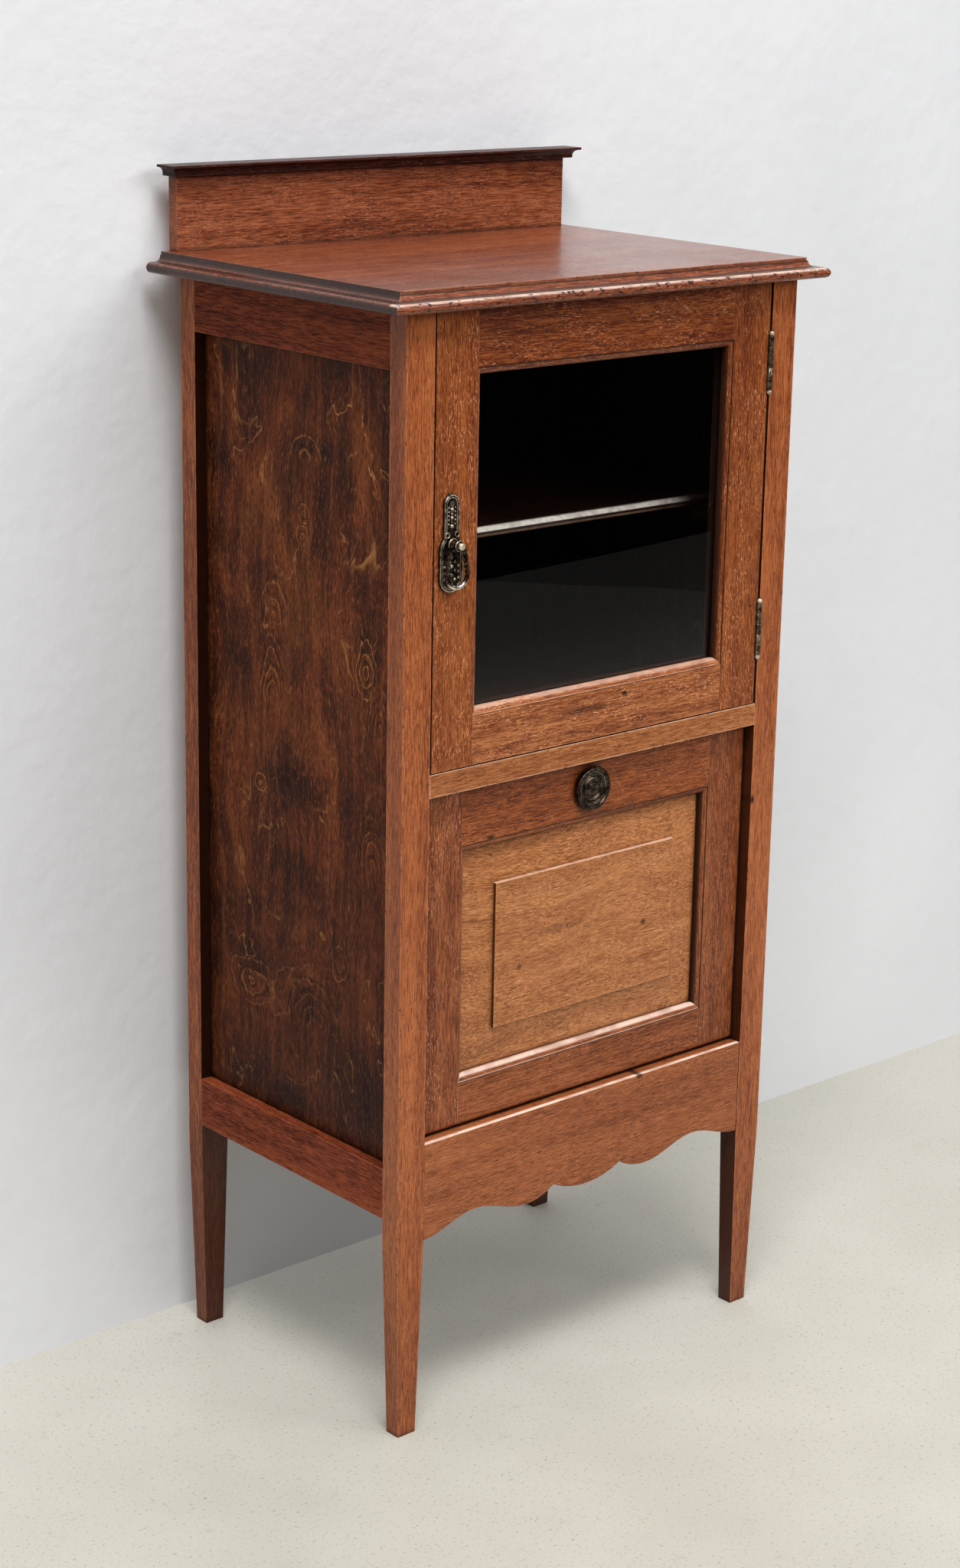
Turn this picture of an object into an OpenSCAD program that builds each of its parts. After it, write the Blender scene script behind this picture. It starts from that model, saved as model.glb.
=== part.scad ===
// Display cabinet: four tapered posts with framed sides, a glazed door over a
// fall-front compartment, a moulded top with an upstand, and a scalloped apron.
// Millimetres. X to the right, Y to the back, Z up. The origin is on the floor,
// under the centre of the whole piece.

/* [Carcase] */
// Width over the outer faces of the posts
case_w = 485; // [420:1:560]
// Depth over the outer faces of the posts
case_d = 332; // [280:1:400]
// Height of the upper face of the top
top_z = 1092; // [1000:1:1250]
// Clear height of the legs under the apron
leg_h = 199; // [140:1:240]

/* [Posts] */
// Width of a post, seen from the front
post_w = 32; // [30:1:40]
// Depth of a post, seen from the side
post_d = 22; // [20:1:30]
// Width of a foot, seen from the front
foot_w = 21; // [14:1:28]
// Depth of a foot, seen from the side
foot_d = 17; // [12:1:20]

/* [Top] */
// Thickness of the top
top_t = 19; // [17:1:26]
// How far the top stands past the posts at each side
overhang_side = 26.5; // [22:0.5:40]
// How far the top stands past the posts in front
overhang_front = 19; // [17:0.5:35]
// How far the top stands past the posts at the back
overhang_back = 17; // [13.5:0.5:30]
// Height of the upright fillet at the upper edge of the moulding
edge_fillet = 3; // [2:0.5:4]
// Radius of the hollow in the edge moulding
edge_cove = 6; // [4:0.5:6.5]
// Width of the flat between the hollow and the nose
edge_flat = 5; // [3:0.5:6]

/* [Upstand] */
// Height of the upstand board above the top
upstand_h = 69.5; // [50:0.5:110]
// Thickness of the upstand board
upstand_t = 12.5; // [10:0.5:13]
// Thickness of the cap on the upstand
cap_t = 10.5; // [9:0.5:14]
// How far the cap stands past the upstand
cap_overhang = 13.5; // [10:0.5:20]
// Thickness of the cap's upper lip
cap_lip = 2.5; // [2:0.5:3]
// Radius of the hollow under the cap's lip
cap_cove = 5.5; // [3:0.5:6]

/* [Rails] */
// Thickness of the side rails
rail_t = 20; // [18:1:20]
// Height of the side top rails
side_top_h = 52; // [40:1:70]
// Height of the side bottom rails
side_low_h = 50; // [36:1:65]
// Height of the underside of the rail between door and fall
mid_z = 634; // [560:1:700]
// Height of the face of the middle rail
mid_h = 22; // [20:1:32]
// Front to back size of the middle rail
mid_deep = 45; // [36:1:60]
// Height of the apron at its ends
apron_h = 98; // [80:1:130]
// Thickness of the apron
apron_t = 18; // [16:1:20]
// How far the scallops rise into the apron
scallop_rise = 14.5; // [8:0.5:25]
// How far the cusps beside the middle scallop rise
cusp_rise = 11; // [6:0.5:18]
// Height of the back rails
back_rail_h = 40; // [30:1:60]
// Thickness of the back rails
back_rail_t = 16; // [12:1:16]
// Front to back size of the rail under the front of the top
front_top_deep = 40; // [30:1:60]
// Thickness of the rail under the front of the top
front_top_t = 20; // [16:1:26]

/* [Joints in the wood] */
// Thickness of the tenons
tenon_t = 8; // [6:0.5:8]
// Length of the tenons
tenon_l = 12; // [8:1:14]
// Depth of the grooves for the side panels
groove_d = 6; // [4:0.5:7]
// Play between a piece and its slot, on each side
slip = 0.1; // [0.05:0.05:0.2]

/* [Panels and boards] */
// Thickness of the side panels
panel_t = 5; // [4:0.5:6]
// How deep the side panels lie behind the outer faces of the posts
panel_recess = 12; // [8:0.5:12.5]
// Thickness of the back panel
back_t = 6; // [4:0.5:6]
// Width of the rebate that the back panel sits in
back_rebate = 8; // [6:0.5:10]
// Thickness of the floor board and the middle board
board_t = 12; // [9:0.5:15]
// Width of the bearers under the boards
bearer_w = 14; // [10:0.5:14]
// Height of the bearers under the middle board and the shelf
bearer_h = 14; // [10:0.5:20]
// Height of the bearers under the floor board
floor_bearer_h = 12; // [10:0.5:18]
// Thickness of the shelf
shelf_t = 11; // [9:0.5:15]
// Height of the upper face of the shelf
shelf_z = 853; // [780:1:930]
// How far the front edge of the shelf lies behind the front of the posts
shelf_back = 88; // [40:1:140]

/* [Door and fall frames] */
// Thickness of the door and of the fall
leaf_t = 20; // [19:0.5:22]
// Width of a stile up to its front edge at the opening
stile_w = 48.5; // [40:0.5:60]
// Height of the door's top rail
door_top_h = 52; // [40:0.5:70]
// Height of the door's bottom rail
door_low_h = 47; // [40:0.5:70]
// Height of the fall's top rail
fall_top_h = 57; // [50:0.5:75]
// Height of the fall's bottom rail
fall_low_h = 45; // [40:0.5:65]
// Width of the moulding on the inner edges
mould_w = 6; // [4:0.5:7]
// Depth of the moulding on the inner edges
mould_d = 9.5; // [8.5:0.5:10]
// Depth of the small step where the moulding starts
quirk = 1; // [0.5:0.25:1.5]
// Length of the tenons of the door and the fall
frame_tenon_l = 26; // [15:1:30]
// Gap between a leaf and the wood round it
leaf_gap = 1.2; // [0.8:0.1:2]
// Gap on the hinge side of the door
hinge_gap = 3; // [2.8:0.1:4]
// Thickness of the glass
glass_t = 3; // [2:0.5:4]
// Width of the beads that hold the glass
bead_w = 7; // [5:0.5:7]

/* [Fall] */
// How deep the fall lies behind the front of the posts
fall_recess = 12; // [8:0.5:14]
// Gap under the closed fall
fall_rest_gap = 0.4; // [0.3:0.1:1.5]
// Radius of the rounded lower front edge, centred on the pivots
pivot_r = 5; // [4:0.25:6]
// Diameter of the pivot pins
pivot_d = 4; // [3:0.25:4.5]
// Length of a pivot pin in the fall
pivot_in = 12; // [8:1:20]
// Width of the bevelled margin round the raised field
field_margin = 44.5; // [30:0.5:60]
// Depth of the field's face behind the frame's face
field_d = 1; // [0.5:0.25:2]
// Depth of the step round the raised field
field_step = 3.5; // [2:0.25:5]
// Depth of the panel's groove in the frame, past the front edge of the opening
field_groove = 2; // [1.5:0.25:3]
// Thickness of the panel's tongue
tongue_t = 6; // [5:0.25:7]

/* [Hinges] */
// Length of a hinge
hinge_l = 51; // [40:1:64]
// Thickness of a hinge leaf
hinge_leaf_t = 1.3; // [1:0.1:1.35]
// Width of a hinge leaf behind the face of the door
hinge_leaf_w = 17; // [14:0.5:18]
// Diameter of the knuckles
knuckle_d = 6; // [5:0.25:7]
// Diameter of the hinge pins
hinge_pin_d = 3; // [2:0.25:3.5]
// How far the hinge axis lies in front of the door's face
hinge_proud = 1; // [0.5:0.25:1.5]
// Diameter of the ball at each end of a hinge pin
hinge_ball_d = 5.2; // [4:0.2:6]
// Height of the middle of the upper hinge below the top of the door
hinge_down = 77; // [50:1:110]
// Height of the middle of the lower hinge above the bottom of the door
hinge_up = 75; // [50:1:110]

/* [Door handle] */
// Height of the handle's spindle
handle_z = 866; // [780:1:940]
// Distance of the spindle from the edge of the door
handle_in = 19; // [16:0.5:26]
// Thickness of the backplate
plate_t = 2; // [1.5:0.25:3]
// Width of the upper part of the backplate
plate_w = 18; // [14:0.5:22]
// Width of the lower part of the backplate
shield_w = 27; // [22:0.5:32]
// Reach of the backplate above the spindle
plate_up = 45; // [35:1:60]
// Reach of the backplate below the spindle
plate_down = 44; // [36:1:60]
// Diameter of the spindle where it passes the door
spindle_d = 6; // [5:0.5:8]
// Diameter of the boss that carries the drop ring
boss_d = 9; // [8.5:0.5:11]
// How far the middle of the ring's bar lies in front of the backplate
ring_out = 8; // [5.5:0.25:9]
// Thickness of the drop ring
drop_d = 4; // [3:0.25:4.25]
// Inner half width of the drop ring's bar past the boss
drop_ease = 2.5; // [2.3:0.1:4]
// Radius of the round end of the drop ring
drop_r = 12; // [10:0.5:15]
// Height from the ring's bar to the middle of its round end
drop_h = 26; // [20:0.5:32]
// Reach of the latch tongue from the spindle
tongue_reach = 27.5; // [25:0.5:29]
// Thickness of the latch tongue
latch_t = 3; // [2:0.25:4]
// Width of the latch tongue
latch_w = 10; // [8:0.5:12]

/* [Ring pull] */
// Diameter of the ring pull over its ring
pull_d = 43; // [36:0.5:46]
// Thickness of the pull's ring
pull_ring_d = 4.6; // [3.5:0.1:5]
// Thickness of the pull's thin base
pull_base_t = 1.6; // [1:0.1:2.4]
// How far the rosette stands in front of its base
pull_rise = 4.6; // [3:0.1:6]
// Width of the lug that carries the ring
lug_w = 6; // [4:0.5:8]
// Diameter of the ring's bar in the lug
lug_pin_d = 3.3; // [2.5:0.1:3.4]

/* [Catch and stop] */
// Diameter of the catch barrel
catch_d = 9; // [8:0.5:10]
// Length of the catch barrel
catch_l = 12; // [10:0.5:16]
// Diameter of the catch plunger
plunger_d = 5; // [4:0.25:5]
// Diameter of the collar that keeps the plunger in its barrel
collar_d = 6.4; // [6:0.2:6.6]
// Gap between the pressed plunger and the plate above it
catch_gap = 0.3; // [0.2:0.05:0.4]
// Length of the catch plate
catch_plate_l = 20; // [16:1:30]
// Width of the catch plate
catch_plate_w = 11; // [8:0.5:14]
// Thickness of the catch plate
catch_plate_t = 0.8; // [0.6:0.1:1.2]
// Length of the stops behind the fall and the door
stop_l = 60; // [40:1:120]
// Height of the stops behind the fall and the door
stop_h = 10; // [6:0.5:16]
// Thickness of the stops behind the fall and the door
stop_t = 8; // [6:0.5:12]

/* [Screws] */
// Shank diameter of the small screws
screw_d = 2.6; // [2:0.1:3]
// Head diameter of the small screws
screw_head_d = 5; // [4.4:0.1:5.6]
// Length of the hinge screws
hinge_screw_l = 14; // [8:1:16]
// Length of the handle screws
handle_screw_l = 12; // [8:1:16]
// Shank diameter of the carcase screws
long_screw_d = 4; // [3:0.25:4.5]
// Head diameter of the carcase screws
long_head_d = 8; // [6:0.25:9]
// How far a carcase screw reaches into the second piece
long_screw_bite = 11; // [8:0.5:14]

/* [Hidden] */
$fn = 48;

// Small overrun of a cut past the face it opens
over = 1;
// Running play of a pin in its bore, on the radius
run = 0.06;
// Play of a pin that is fixed in its bore, on the radius
snug = 0.02;
// Gap between a closed leaf and its stop
stop_gap = 0.3;
// Depth of the drilling above the catch plate, for the plunger's tip
plunger_room = 1;
// Shoulder left above and below a tenon
shoulder = 4;

// Planes of the carcase
xo = case_w / 2;
xi = xo - post_w;
top_deep = case_d + overhang_front + overhang_back;
nose_y = -top_deep / 2;
tail_y = top_deep / 2;
yf = nose_y + overhang_front;
yb = yf + case_d;
yfi = yf + post_d;
ybi = yb - post_d;
case_h = top_z - top_t;
side_in = xo - rail_t;
tenon_x = xo - rail_t / 2;
panel_out = xo - panel_recess;
panel_in = panel_out - panel_t;
back_y = yb - back_t;

// Heights
apron_top = leg_h + apron_h;
floor_z = apron_top;
side_low_top = floor_z - board_t - floor_bearer_h;
side_low_z = side_low_top - side_low_h;
side_top_z = case_h - side_top_h;
mid_top = mid_z + mid_h;
upstand_top = top_z + upstand_h;
cap_top = upstand_top + cap_t;
back_low_top = floor_z - board_t;
back_low_z = back_low_top - back_rail_h;
apron_back = yf + apron_t;

// Door
dx0 = -xi + leaf_gap;
dx1 = xi - hinge_gap;
dz0 = mid_top + leaf_gap;
dz1 = case_h - leaf_gap - 0.8;
dy0 = yf;
dy1 = dy0 + leaf_t;
door_open = [dx0 + stile_w, dx1 - stile_w, dz0 + door_low_h, dz1 - door_top_h];

// Fall
fx0 = -xi + leaf_gap;
fx1 = xi - leaf_gap;
fz0 = floor_z + fall_rest_gap;
fz1 = mid_z - leaf_gap;
fy0 = yf + fall_recess;
fy1 = fy0 + leaf_t;
fall_open = [fx0 + stile_w, fx1 - stile_w, fz0 + fall_low_h, fz1 - fall_top_h];
pivot_y = fy0 + pivot_r;
pivot_z = fz0 + pivot_r;
groove_y0 = fy0 + mould_d;
groove_y1 = groove_y0 + tongue_t + 2 * slip;

// Hinge
hinge_x = xi - hinge_gap / 2;
hinge_y = dy0 - hinge_proud;
hinge_zs = [dz1 - hinge_down, dz0 + hinge_up];
knuckles = 5;
knuckle_l = hinge_l / knuckles;
knuckle_cut_r = knuckle_d / 2 + 0.3;
hinge_ball_off = hinge_l / 2 + hinge_ball_d / 4;
hinge_room = hinge_l + 2 * hinge_ball_d + 1;
screw_rows = [-0.36, 0, 0.36];

// Handle
handle_x = dx0 + handle_in;
plate_y = dy0 - plate_t;
drop_y = plate_y - ring_out;
boss_tip_y = drop_y - drop_d / 2 - 1.1;
drop_half = boss_d / 2 + drop_ease;
drop_turn = atan(drop_half / drop_h) + acos(drop_r / norm([drop_half, drop_h]));
latch_y = yfi + 0.3;
ear_r = 2.8;
ear_t = 0.8;
ear_x = 5.5;
ear_up = 8.5;
plate_screw_zs = [handle_z + plate_up - plate_w / 2, handle_z - plate_down + 6.5];

// Ring pull
pull_z = fz1 - fall_top_h / 2;
pull_r = (pull_d - pull_ring_d) / 2;
pull_in_r = pull_r - pull_ring_d / 2 - 0.5;
pull_y = fy0 - pull_base_t - pull_ring_d / 2 - 0.9;
lug_half = lug_w / 2 + 0.4;
lug_z = sqrt(pull_r * pull_r - lug_half * lug_half);

// Catch
catch_y = (fy0 + fy1) / 2;
plunger_z = mid_z - catch_gap - plunger_d / 2;
lip_t = 1;
collar_z = fz1 - lip_t - 1.4;

// Colours
mahogany = "sienna";
mahogany_light = "peru";
inner_wood = "burlywood";
burr = "saddlebrown";
brass = "goldenrod";
bronze = "darkslategray";

// A box from its low corner to its high corner
module block(a, b) {
    translate(a) cube(b - a);
}

// The slot for a box, with play all round
module socket(a, b) {
    play = [slip, slip, slip];
    block(a - play, b + play);
}

// A profile of Y and Z drawn out along X
module along_x(x0, x1) {
    translate([x0, 0, 0]) rotate([90, 0, 90]) linear_extrude(height = x1 - x0) children();
}

// A profile of X and Z drawn out along Y
module along_y(y0, y1) {
    translate([0, y1, 0]) rotate([90, 0, 0]) linear_extrude(height = y1 - y0) children();
}

// A shape on the right side, or its mirror image on the left
module on_side(side) {
    if (side < 0) mirror([1, 0, 0]) children();
    else children();
}

// A cylinder along X, centred on a point
module pin_x(p, l, r) {
    translate([p.x - l / 2, p.y, p.z]) rotate([0, 90, 0]) cylinder(h = l, r = r);
}

// A cylinder along Y between two depths
module pin_y(x, z, y0, y1, r) {
    translate([x, y1, z]) rotate([90, 0, 0]) cylinder(h = y1 - y0, r = r);
}

// A round rod between two points
module rod(p, q, r) {
    v = q - p;
    l = norm(v);
    translate(p) rotate([0, acos(v.z / l), atan2(v.y, v.x)]) cylinder(h = l, r = r);
}

// A countersunk screw along -Z, with its head's face at the origin
module screw(l, shank, head, play = 0) {
    r = shank / 2 + play;
    big = head / 2 + play;
    translate([0, 0, -l - play]) cylinder(h = l + play, r = r);
    translate([0, 0, r - big]) cylinder(h = big - r, r1 = r, r2 = big);
}

// Tenons of the side rails, from the front post to the back post
module side_tenons(z0, z1, play = 0) {
    grow = [play, play, play];
    lo = [tenon_x - tenon_t / 2, yfi - tenon_l, z0];
    hi = [tenon_x + tenon_t / 2, ybi + tenon_l, z1];
    block(lo - grow, hi + grow);
}

// Tenons of a rail that runs from the left post to the right post
module cross_tenons(y, z0, z1, play = 0) {
    grow = [play, play, play];
    lo = [-xi - tenon_l, y - tenon_t / 2, z0];
    hi = [xi + tenon_l, y + tenon_t / 2, z1];
    block(lo - grow, hi + grow);
}

module side_top_tenons(play = 0) {
    side_tenons(side_top_z + groove_d + 2, case_h - 2 * shoulder, play);
}

module side_low_tenons(play = 0) {
    side_tenons(side_low_z + shoulder, side_low_top - groove_d - 2, play);
}

module middle_tenons(play = 0) {
    cross_tenons(yf + post_d / 2, mid_z + shoulder, mid_top - shoulder, play);
}

module apron_tenons(play = 0) {
    cross_tenons(yf + apron_t / 2, leg_h + 4 * shoulder, apron_top - 2 * shoulder, play);
}

module back_top_tenons(play = 0) {
    cross_tenons(ybi + back_rail_t / 2, case_h - back_rail_h + shoulder,
        case_h - 2 * shoulder, play);
}

module back_low_tenons(play = 0) {
    cross_tenons(ybi + back_rail_t / 2, back_low_z + shoulder, back_low_top - shoulder, play);
}

// The side panel's outline, grown by the play of its slot
module side_panel_blank(play = 0) {
    edge = groove_d - 0.5;
    grow = [play, play + 0.3, play + 0.3];
    lo = [panel_in, yfi - edge, side_low_top - edge];
    hi = [panel_out, ybi + edge, side_top_z + edge];
    block(lo - grow, hi + grow);
}

// A post with its tapered leg, between two depths
module post_blank(y0, y1) {
    in_w = (post_w - foot_w) / 2;
    in_d = (post_d - foot_d) / 2;
    intersection() {
        along_y(y0, y1) polygon([[xi, case_h], [xo, case_h], [xo, leg_h],
            [xo - in_w, 0], [xi + in_w, 0], [xi, leg_h]]);
        along_x(xi, xo) polygon([[y0, case_h], [y1, case_h], [y1, leg_h],
            [y1 - in_d, 0], [y0 + in_d, 0], [y0, leg_h]]);
    }
}

module front_post() {
    difference() {
        post_blank(yf, yfi);
        side_top_tenons(slip);
        side_low_tenons(slip);
        middle_tenons(slip);
        apron_tenons(slip);
        side_panel_blank(slip);
        pivot_pin(snug);
    }
}

module back_post() {
    difference() {
        post_blank(ybi, yb);
        side_top_tenons(slip);
        side_low_tenons(slip);
        back_top_tenons(slip);
        back_low_tenons(slip);
        side_panel_blank(slip);
        block([xi - over, back_y, back_low_z], [xi + back_rebate, yb + over, case_h + over]);
    }
}

module post_front_left() color(mahogany) on_side(-1) front_post();

module post_front_right() color(mahogany) difference() {
    front_post();
    hinge_room();
    hinge_screw_set(1, snug);
}

module post_back_left() color(mahogany) on_side(-1) back_post();

module post_back_right() color(mahogany) back_post();

module side_rail(z0, z1) {
    difference() {
        block([side_in, yfi, z0], [xo, ybi, z1]);
        side_panel_blank(slip);
    }
}

module side_top_rail(side) color(mahogany) on_side(side) {
    difference() {
        union() {
            side_rail(side_top_z, case_h);
            side_top_tenons();
        }
        side_panel_blank(slip);
    }
}

module side_low_rail(side) color(mahogany) on_side(side) {
    difference() {
        union() {
            side_rail(side_low_z, side_low_top);
            side_low_tenons();
        }
        side_panel_blank(slip);
    }
}

module side_top_rail_left() side_top_rail(-1);

module side_top_rail_right() side_top_rail(1);

module side_bottom_rail_left() side_low_rail(-1);

module side_bottom_rail_right() side_low_rail(1);

module side_panel_left() color(burr) on_side(-1) side_panel_blank();

module side_panel_right() color(burr) side_panel_blank();

module back_top_rail() color(inner_wood) {
    block([-xi, ybi, case_h - back_rail_h], [xi, ybi + back_rail_t, case_h]);
    back_top_tenons();
}

module back_bottom_rail() color(inner_wood) {
    block([-xi, ybi, back_low_z], [xi, ybi + back_rail_t, back_low_top]);
    back_low_tenons();
}

module back_panel() color(inner_wood) {
    w = xi + back_rebate - slip;
    block([-w, back_y, back_low_z], [w, yb, case_h]);
}

// Places of the screws that hold the front of the top
function front_screw_xs() = [-0.7 * xi, 0, 0.7 * xi];

module front_screw_set(play = 0) {
    for (x = front_screw_xs())
        translate([x, yfi + front_top_deep / 2, case_h - front_top_t]) rotate([180, 0, 0])
            screw(front_top_t + long_screw_bite, long_screw_d, long_head_d, play);
}

module front_top_rail() color(mahogany) difference() {
    block([-side_in, yfi, case_h - front_top_t], [side_in, yfi + front_top_deep, case_h]);
    front_screw_set(slip);
}

module middle_rail() color(mahogany_light) difference() {
    union() {
        block([-xi, yf, mid_z], [xi, yf + mid_deep, mid_top]);
        middle_tenons();
    }
    catch_plate_blank(slip, catch_plate_t + slip);
    translate([0, catch_y, mid_z])
        cylinder(h = catch_plate_t + plunger_room, r = plunger_d / 2 + run);
}

// One swell of a scallop, from 0 to 1
function swell(t) = (1 - cos(180 * t)) / 2;

// Half of the apron's lower edge, from the middle out to the post
function scallop_half() =
    let (w = xi / 210.5, cusp = 44.5 * w, low = 80 * w, peak = 146 * w, n = 10,
        r_mid = (cusp * cusp + cusp_rise * cusp_rise) / (2 * cusp_rise),
        side = low - cusp,
        r_side = (side * side + cusp_rise * cusp_rise) / (2 * cusp_rise))
    concat(
        [for (i = [0 : n]) let (x = cusp * i / n) [x, r_mid - sqrt(r_mid * r_mid - x * x)]],
        [for (i = [1 : n]) let (x = side * (1 - i / n))
            [low - x, r_side - sqrt(r_side * r_side - x * x)]],
        [for (i = [1 : n]) [low + (peak - low) * i / n, scallop_rise * swell(i / n)]],
        [for (i = [1 : n]) [peak + (xi - peak) * i / n, scallop_rise * swell(1 - i / n)]]);

module apron() color(mahogany) {
    edge = scallop_half();
    last = len(edge) - 1;
    along_y(yf, apron_back) polygon(concat(
        [for (p = edge) [p.x, leg_h + p.y]],
        [[xi, apron_top], [-xi, apron_top]],
        [for (i = [0 : last - 1]) let (p = edge[last - i]) [-p.x, leg_h + p.y]]));
    apron_tenons();
}

// A board that reaches the side panels and the back, notched round the back posts
module board(y0, z1, t) {
    w = panel_in - slip;
    block([-w, y0, z1 - t], [w, ybi, z1]);
    block([-xi + slip, ybi - over, z1 - t], [xi - slip, back_y, z1]);
}

// A bearer between the front post and the back post, against the side panel
module bearer(side, z1, h) color(inner_wood) on_side(side) {
    block([panel_in - bearer_w, yfi, z1 - h], [panel_in, ybi, z1]);
}

module middle_board() color(inner_wood) board(yf + mid_deep, mid_top, board_t);

module middle_bearer_left() bearer(-1, mid_top - board_t, bearer_h);

module middle_bearer_right() bearer(1, mid_top - board_t, bearer_h);

module floor_board() color(inner_wood) {
    board(yfi + slip, floor_z, board_t);
    block([-xi + slip, apron_back, floor_z - board_t], [xi - slip, yfi + over, floor_z]);
}

module floor_bearer_left() bearer(-1, floor_z - board_t, floor_bearer_h);

module floor_bearer_right() bearer(1, floor_z - board_t, floor_bearer_h);

module shelf() color(inner_wood) {
    r = shelf_t / 2;
    board(yf + shelf_back + r, shelf_z, shelf_t);
    pin_x([0, yf + shelf_back + r, shelf_z - r], 2 * (panel_in - slip), r);
}

module shelf_bearer_left() bearer(-1, shelf_z - shelf_t, bearer_h);

module shelf_bearer_right() bearer(1, shelf_z - shelf_t, bearer_h);

// The moulded edge of the top: how far it is cut back and its height, from the top down
nose_r = (top_t - edge_fillet - edge_cove) / 2;
edge_step = 1;
edge_back = nose_r + edge_flat + edge_cove + edge_step;
function top_edge() = concat(
    [[edge_back, top_z], [edge_back, top_z - edge_fillet]],
    [for (i = [0 : 6]) let (a = 15 * i)
        [nose_r + edge_flat + edge_cove * cos(a), top_z - edge_fillet - edge_cove * sin(a)]],
    [for (i = [0 : 12]) let (a = 15 * i)
        [nose_r - nose_r * sin(a), case_h + nose_r + nose_r * cos(a)]]);

module top_board() color(mahogany) {
    edge = top_edge();
    last = len(edge) - 1;
    w = xo + overhang_side;
    difference() {
        intersection() {
            along_y(nose_y - over, tail_y) polygon(concat(
                [for (p = edge) [w - p.x, p.y]],
                [for (i = [0 : last]) let (p = edge[last - i]) [p.x - w, p.y]]));
            along_x(-w - over, w + over) polygon(concat(
                [for (p = edge) [nose_y + p.x, p.y]],
                [[tail_y, case_h], [tail_y, top_z]]));
        }
        front_screw_set(slip);
        upstand_screw_set(slip);
    }
}

// The moulded edge of the cap: how far it is cut back and its height, from the top down
function cap_edge() = concat(
    [[0, cap_top], [0, cap_top - cap_lip], [1, cap_top - cap_lip]],
    [for (i = [0 : 6]) let (a = 15 * i)
        [1 + cap_cove * sin(a), cap_top - cap_lip - cap_cove * (1 - cos(a))]],
    [[1 + cap_cove, upstand_top]]);

module upstand_cap() color(mahogany) {
    edge = cap_edge();
    last = len(edge) - 1;
    w = xo + cap_overhang;
    y0 = tail_y - upstand_t - cap_overhang;
    intersection() {
        along_y(y0 - over, tail_y) polygon(concat(
            [for (p = edge) [w - p.x, p.y]],
            [for (i = [0 : last]) let (p = edge[last - i]) [p.x - w, p.y]]));
        along_x(-w - over, w + over) polygon(concat(
            [for (p = edge) [y0 + p.x, p.y]],
            [[tail_y, upstand_top], [tail_y, cap_top]]));
    }
}

module upstand_screw_set(play = 0) {
    for (x = [-0.75 * xo, 0, 0.75 * xo])
        translate([x, tail_y - upstand_t / 2, case_h]) rotate([180, 0, 0])
            screw(top_t + 2 * long_screw_bite, long_screw_d, long_head_d, play);
}

module upstand_board() color(mahogany) difference() {
    block([-xo, tail_y - upstand_t, top_z], [xo, tail_y, upstand_top]);
    upstand_screw_set(slip);
}

module top_screws() color(brass) front_screw_set();

module upstand_screws() color(brass) upstand_screw_set();

// Door and fall: two stiles, two rails and a moulded opening. A leaf is given by its
// box [x0, x1, y0, y1, z0, z1] and its opening [x0, x1, z0, z1] at the front.

// One side of the moulded opening, from front to back: how far in, and how deep
function mould_side(back) = concat(
    [[0, -over], [0, quirk]],
    [for (i = [0 : 6]) let (a = 15 * i) [mould_w * sin(a), quirk + mould_w * (1 - cos(a))]],
    [[mould_w, mould_d]], back);

// The outline of the opening across the leaf
function opening_outline(a0, a1, y0, back) =
    let (side = mould_side(back), last = len(side) - 1)
    concat([for (p = side) [a0 + p.x, y0 + p.y]],
        [for (i = [0 : last]) let (p = side[last - i]) [a1 - p.x, y0 + p.y]]);

module opening(o, y0, back) {
    intersection() {
        translate([0, 0, o[2] - 2 * field_groove])
            linear_extrude(height = o[3] - o[2] + 4 * field_groove)
                polygon(opening_outline(o[0], o[1], y0, back));
        along_x(o[0] - 2 * field_groove, o[1] + 2 * field_groove)
            polygon([for (p = opening_outline(o[2], o[3], y0, back)) [p.y, p.x]]);
    }
}

// Front views of the stiles and rails, mitred at the moulding
function stile_view(l, o, side) =
    let (x0 = side < 0 ? l[0] : l[1], x1 = side < 0 ? o[0] : o[1], x2 = x1 - side * mould_w)
    [[x0, l[4]], [x1, l[4]], [x1, o[2]], [x2, o[2] + mould_w], [x2, o[3] - mould_w],
        [x1, o[3]], [x1, l[5]], [x0, l[5]]];

function rail_view(l, o, side) =
    let (z0 = side < 0 ? l[4] : l[5], z1 = side < 0 ? o[2] : o[3], z2 = z1 - side * mould_w)
    [[o[0], z0], [o[1], z0], [o[1], z1], [o[1] - mould_w, z2], [o[0] + mould_w, z2],
        [o[0], z1]];

module rail_tenons(l, o, side, play = 0) {
    grow = [play, play, play];
    mid = (l[2] + l[3]) / 2;
    z0 = side < 0 ? l[4] + 2 * shoulder : o[3] + shoulder;
    z1 = side < 0 ? o[2] - shoulder : l[5] - 2 * shoulder;
    block([o[0] - frame_tenon_l, mid - tenon_t / 2, z0] - grow,
        [o[1] + frame_tenon_l, mid + tenon_t / 2, z1] + grow);
}

module leaf_stile(l, o, back, side) {
    difference() {
        along_y(l[2], l[3]) polygon(stile_view(l, o, side));
        opening(o, l[2], back);
        rail_tenons(l, o, -1, slip);
        rail_tenons(l, o, 1, slip);
    }
}

module leaf_rail(l, o, back, side) {
    difference() {
        along_y(l[2], l[3]) polygon(rail_view(l, o, side));
        opening(o, l[2], back);
    }
    rail_tenons(l, o, side);
}

door_leaf = [dx0, dx1, dy0, dy1, dz0, dz1];
door_back = [[0, mould_d], [0, leaf_t + over]];

module door_stile_left() color(mahogany) difference() {
    leaf_stile(door_leaf, door_open, door_back, -1);
    spindle_shaft(run);
    handle_screw_set(snug);
}

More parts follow.
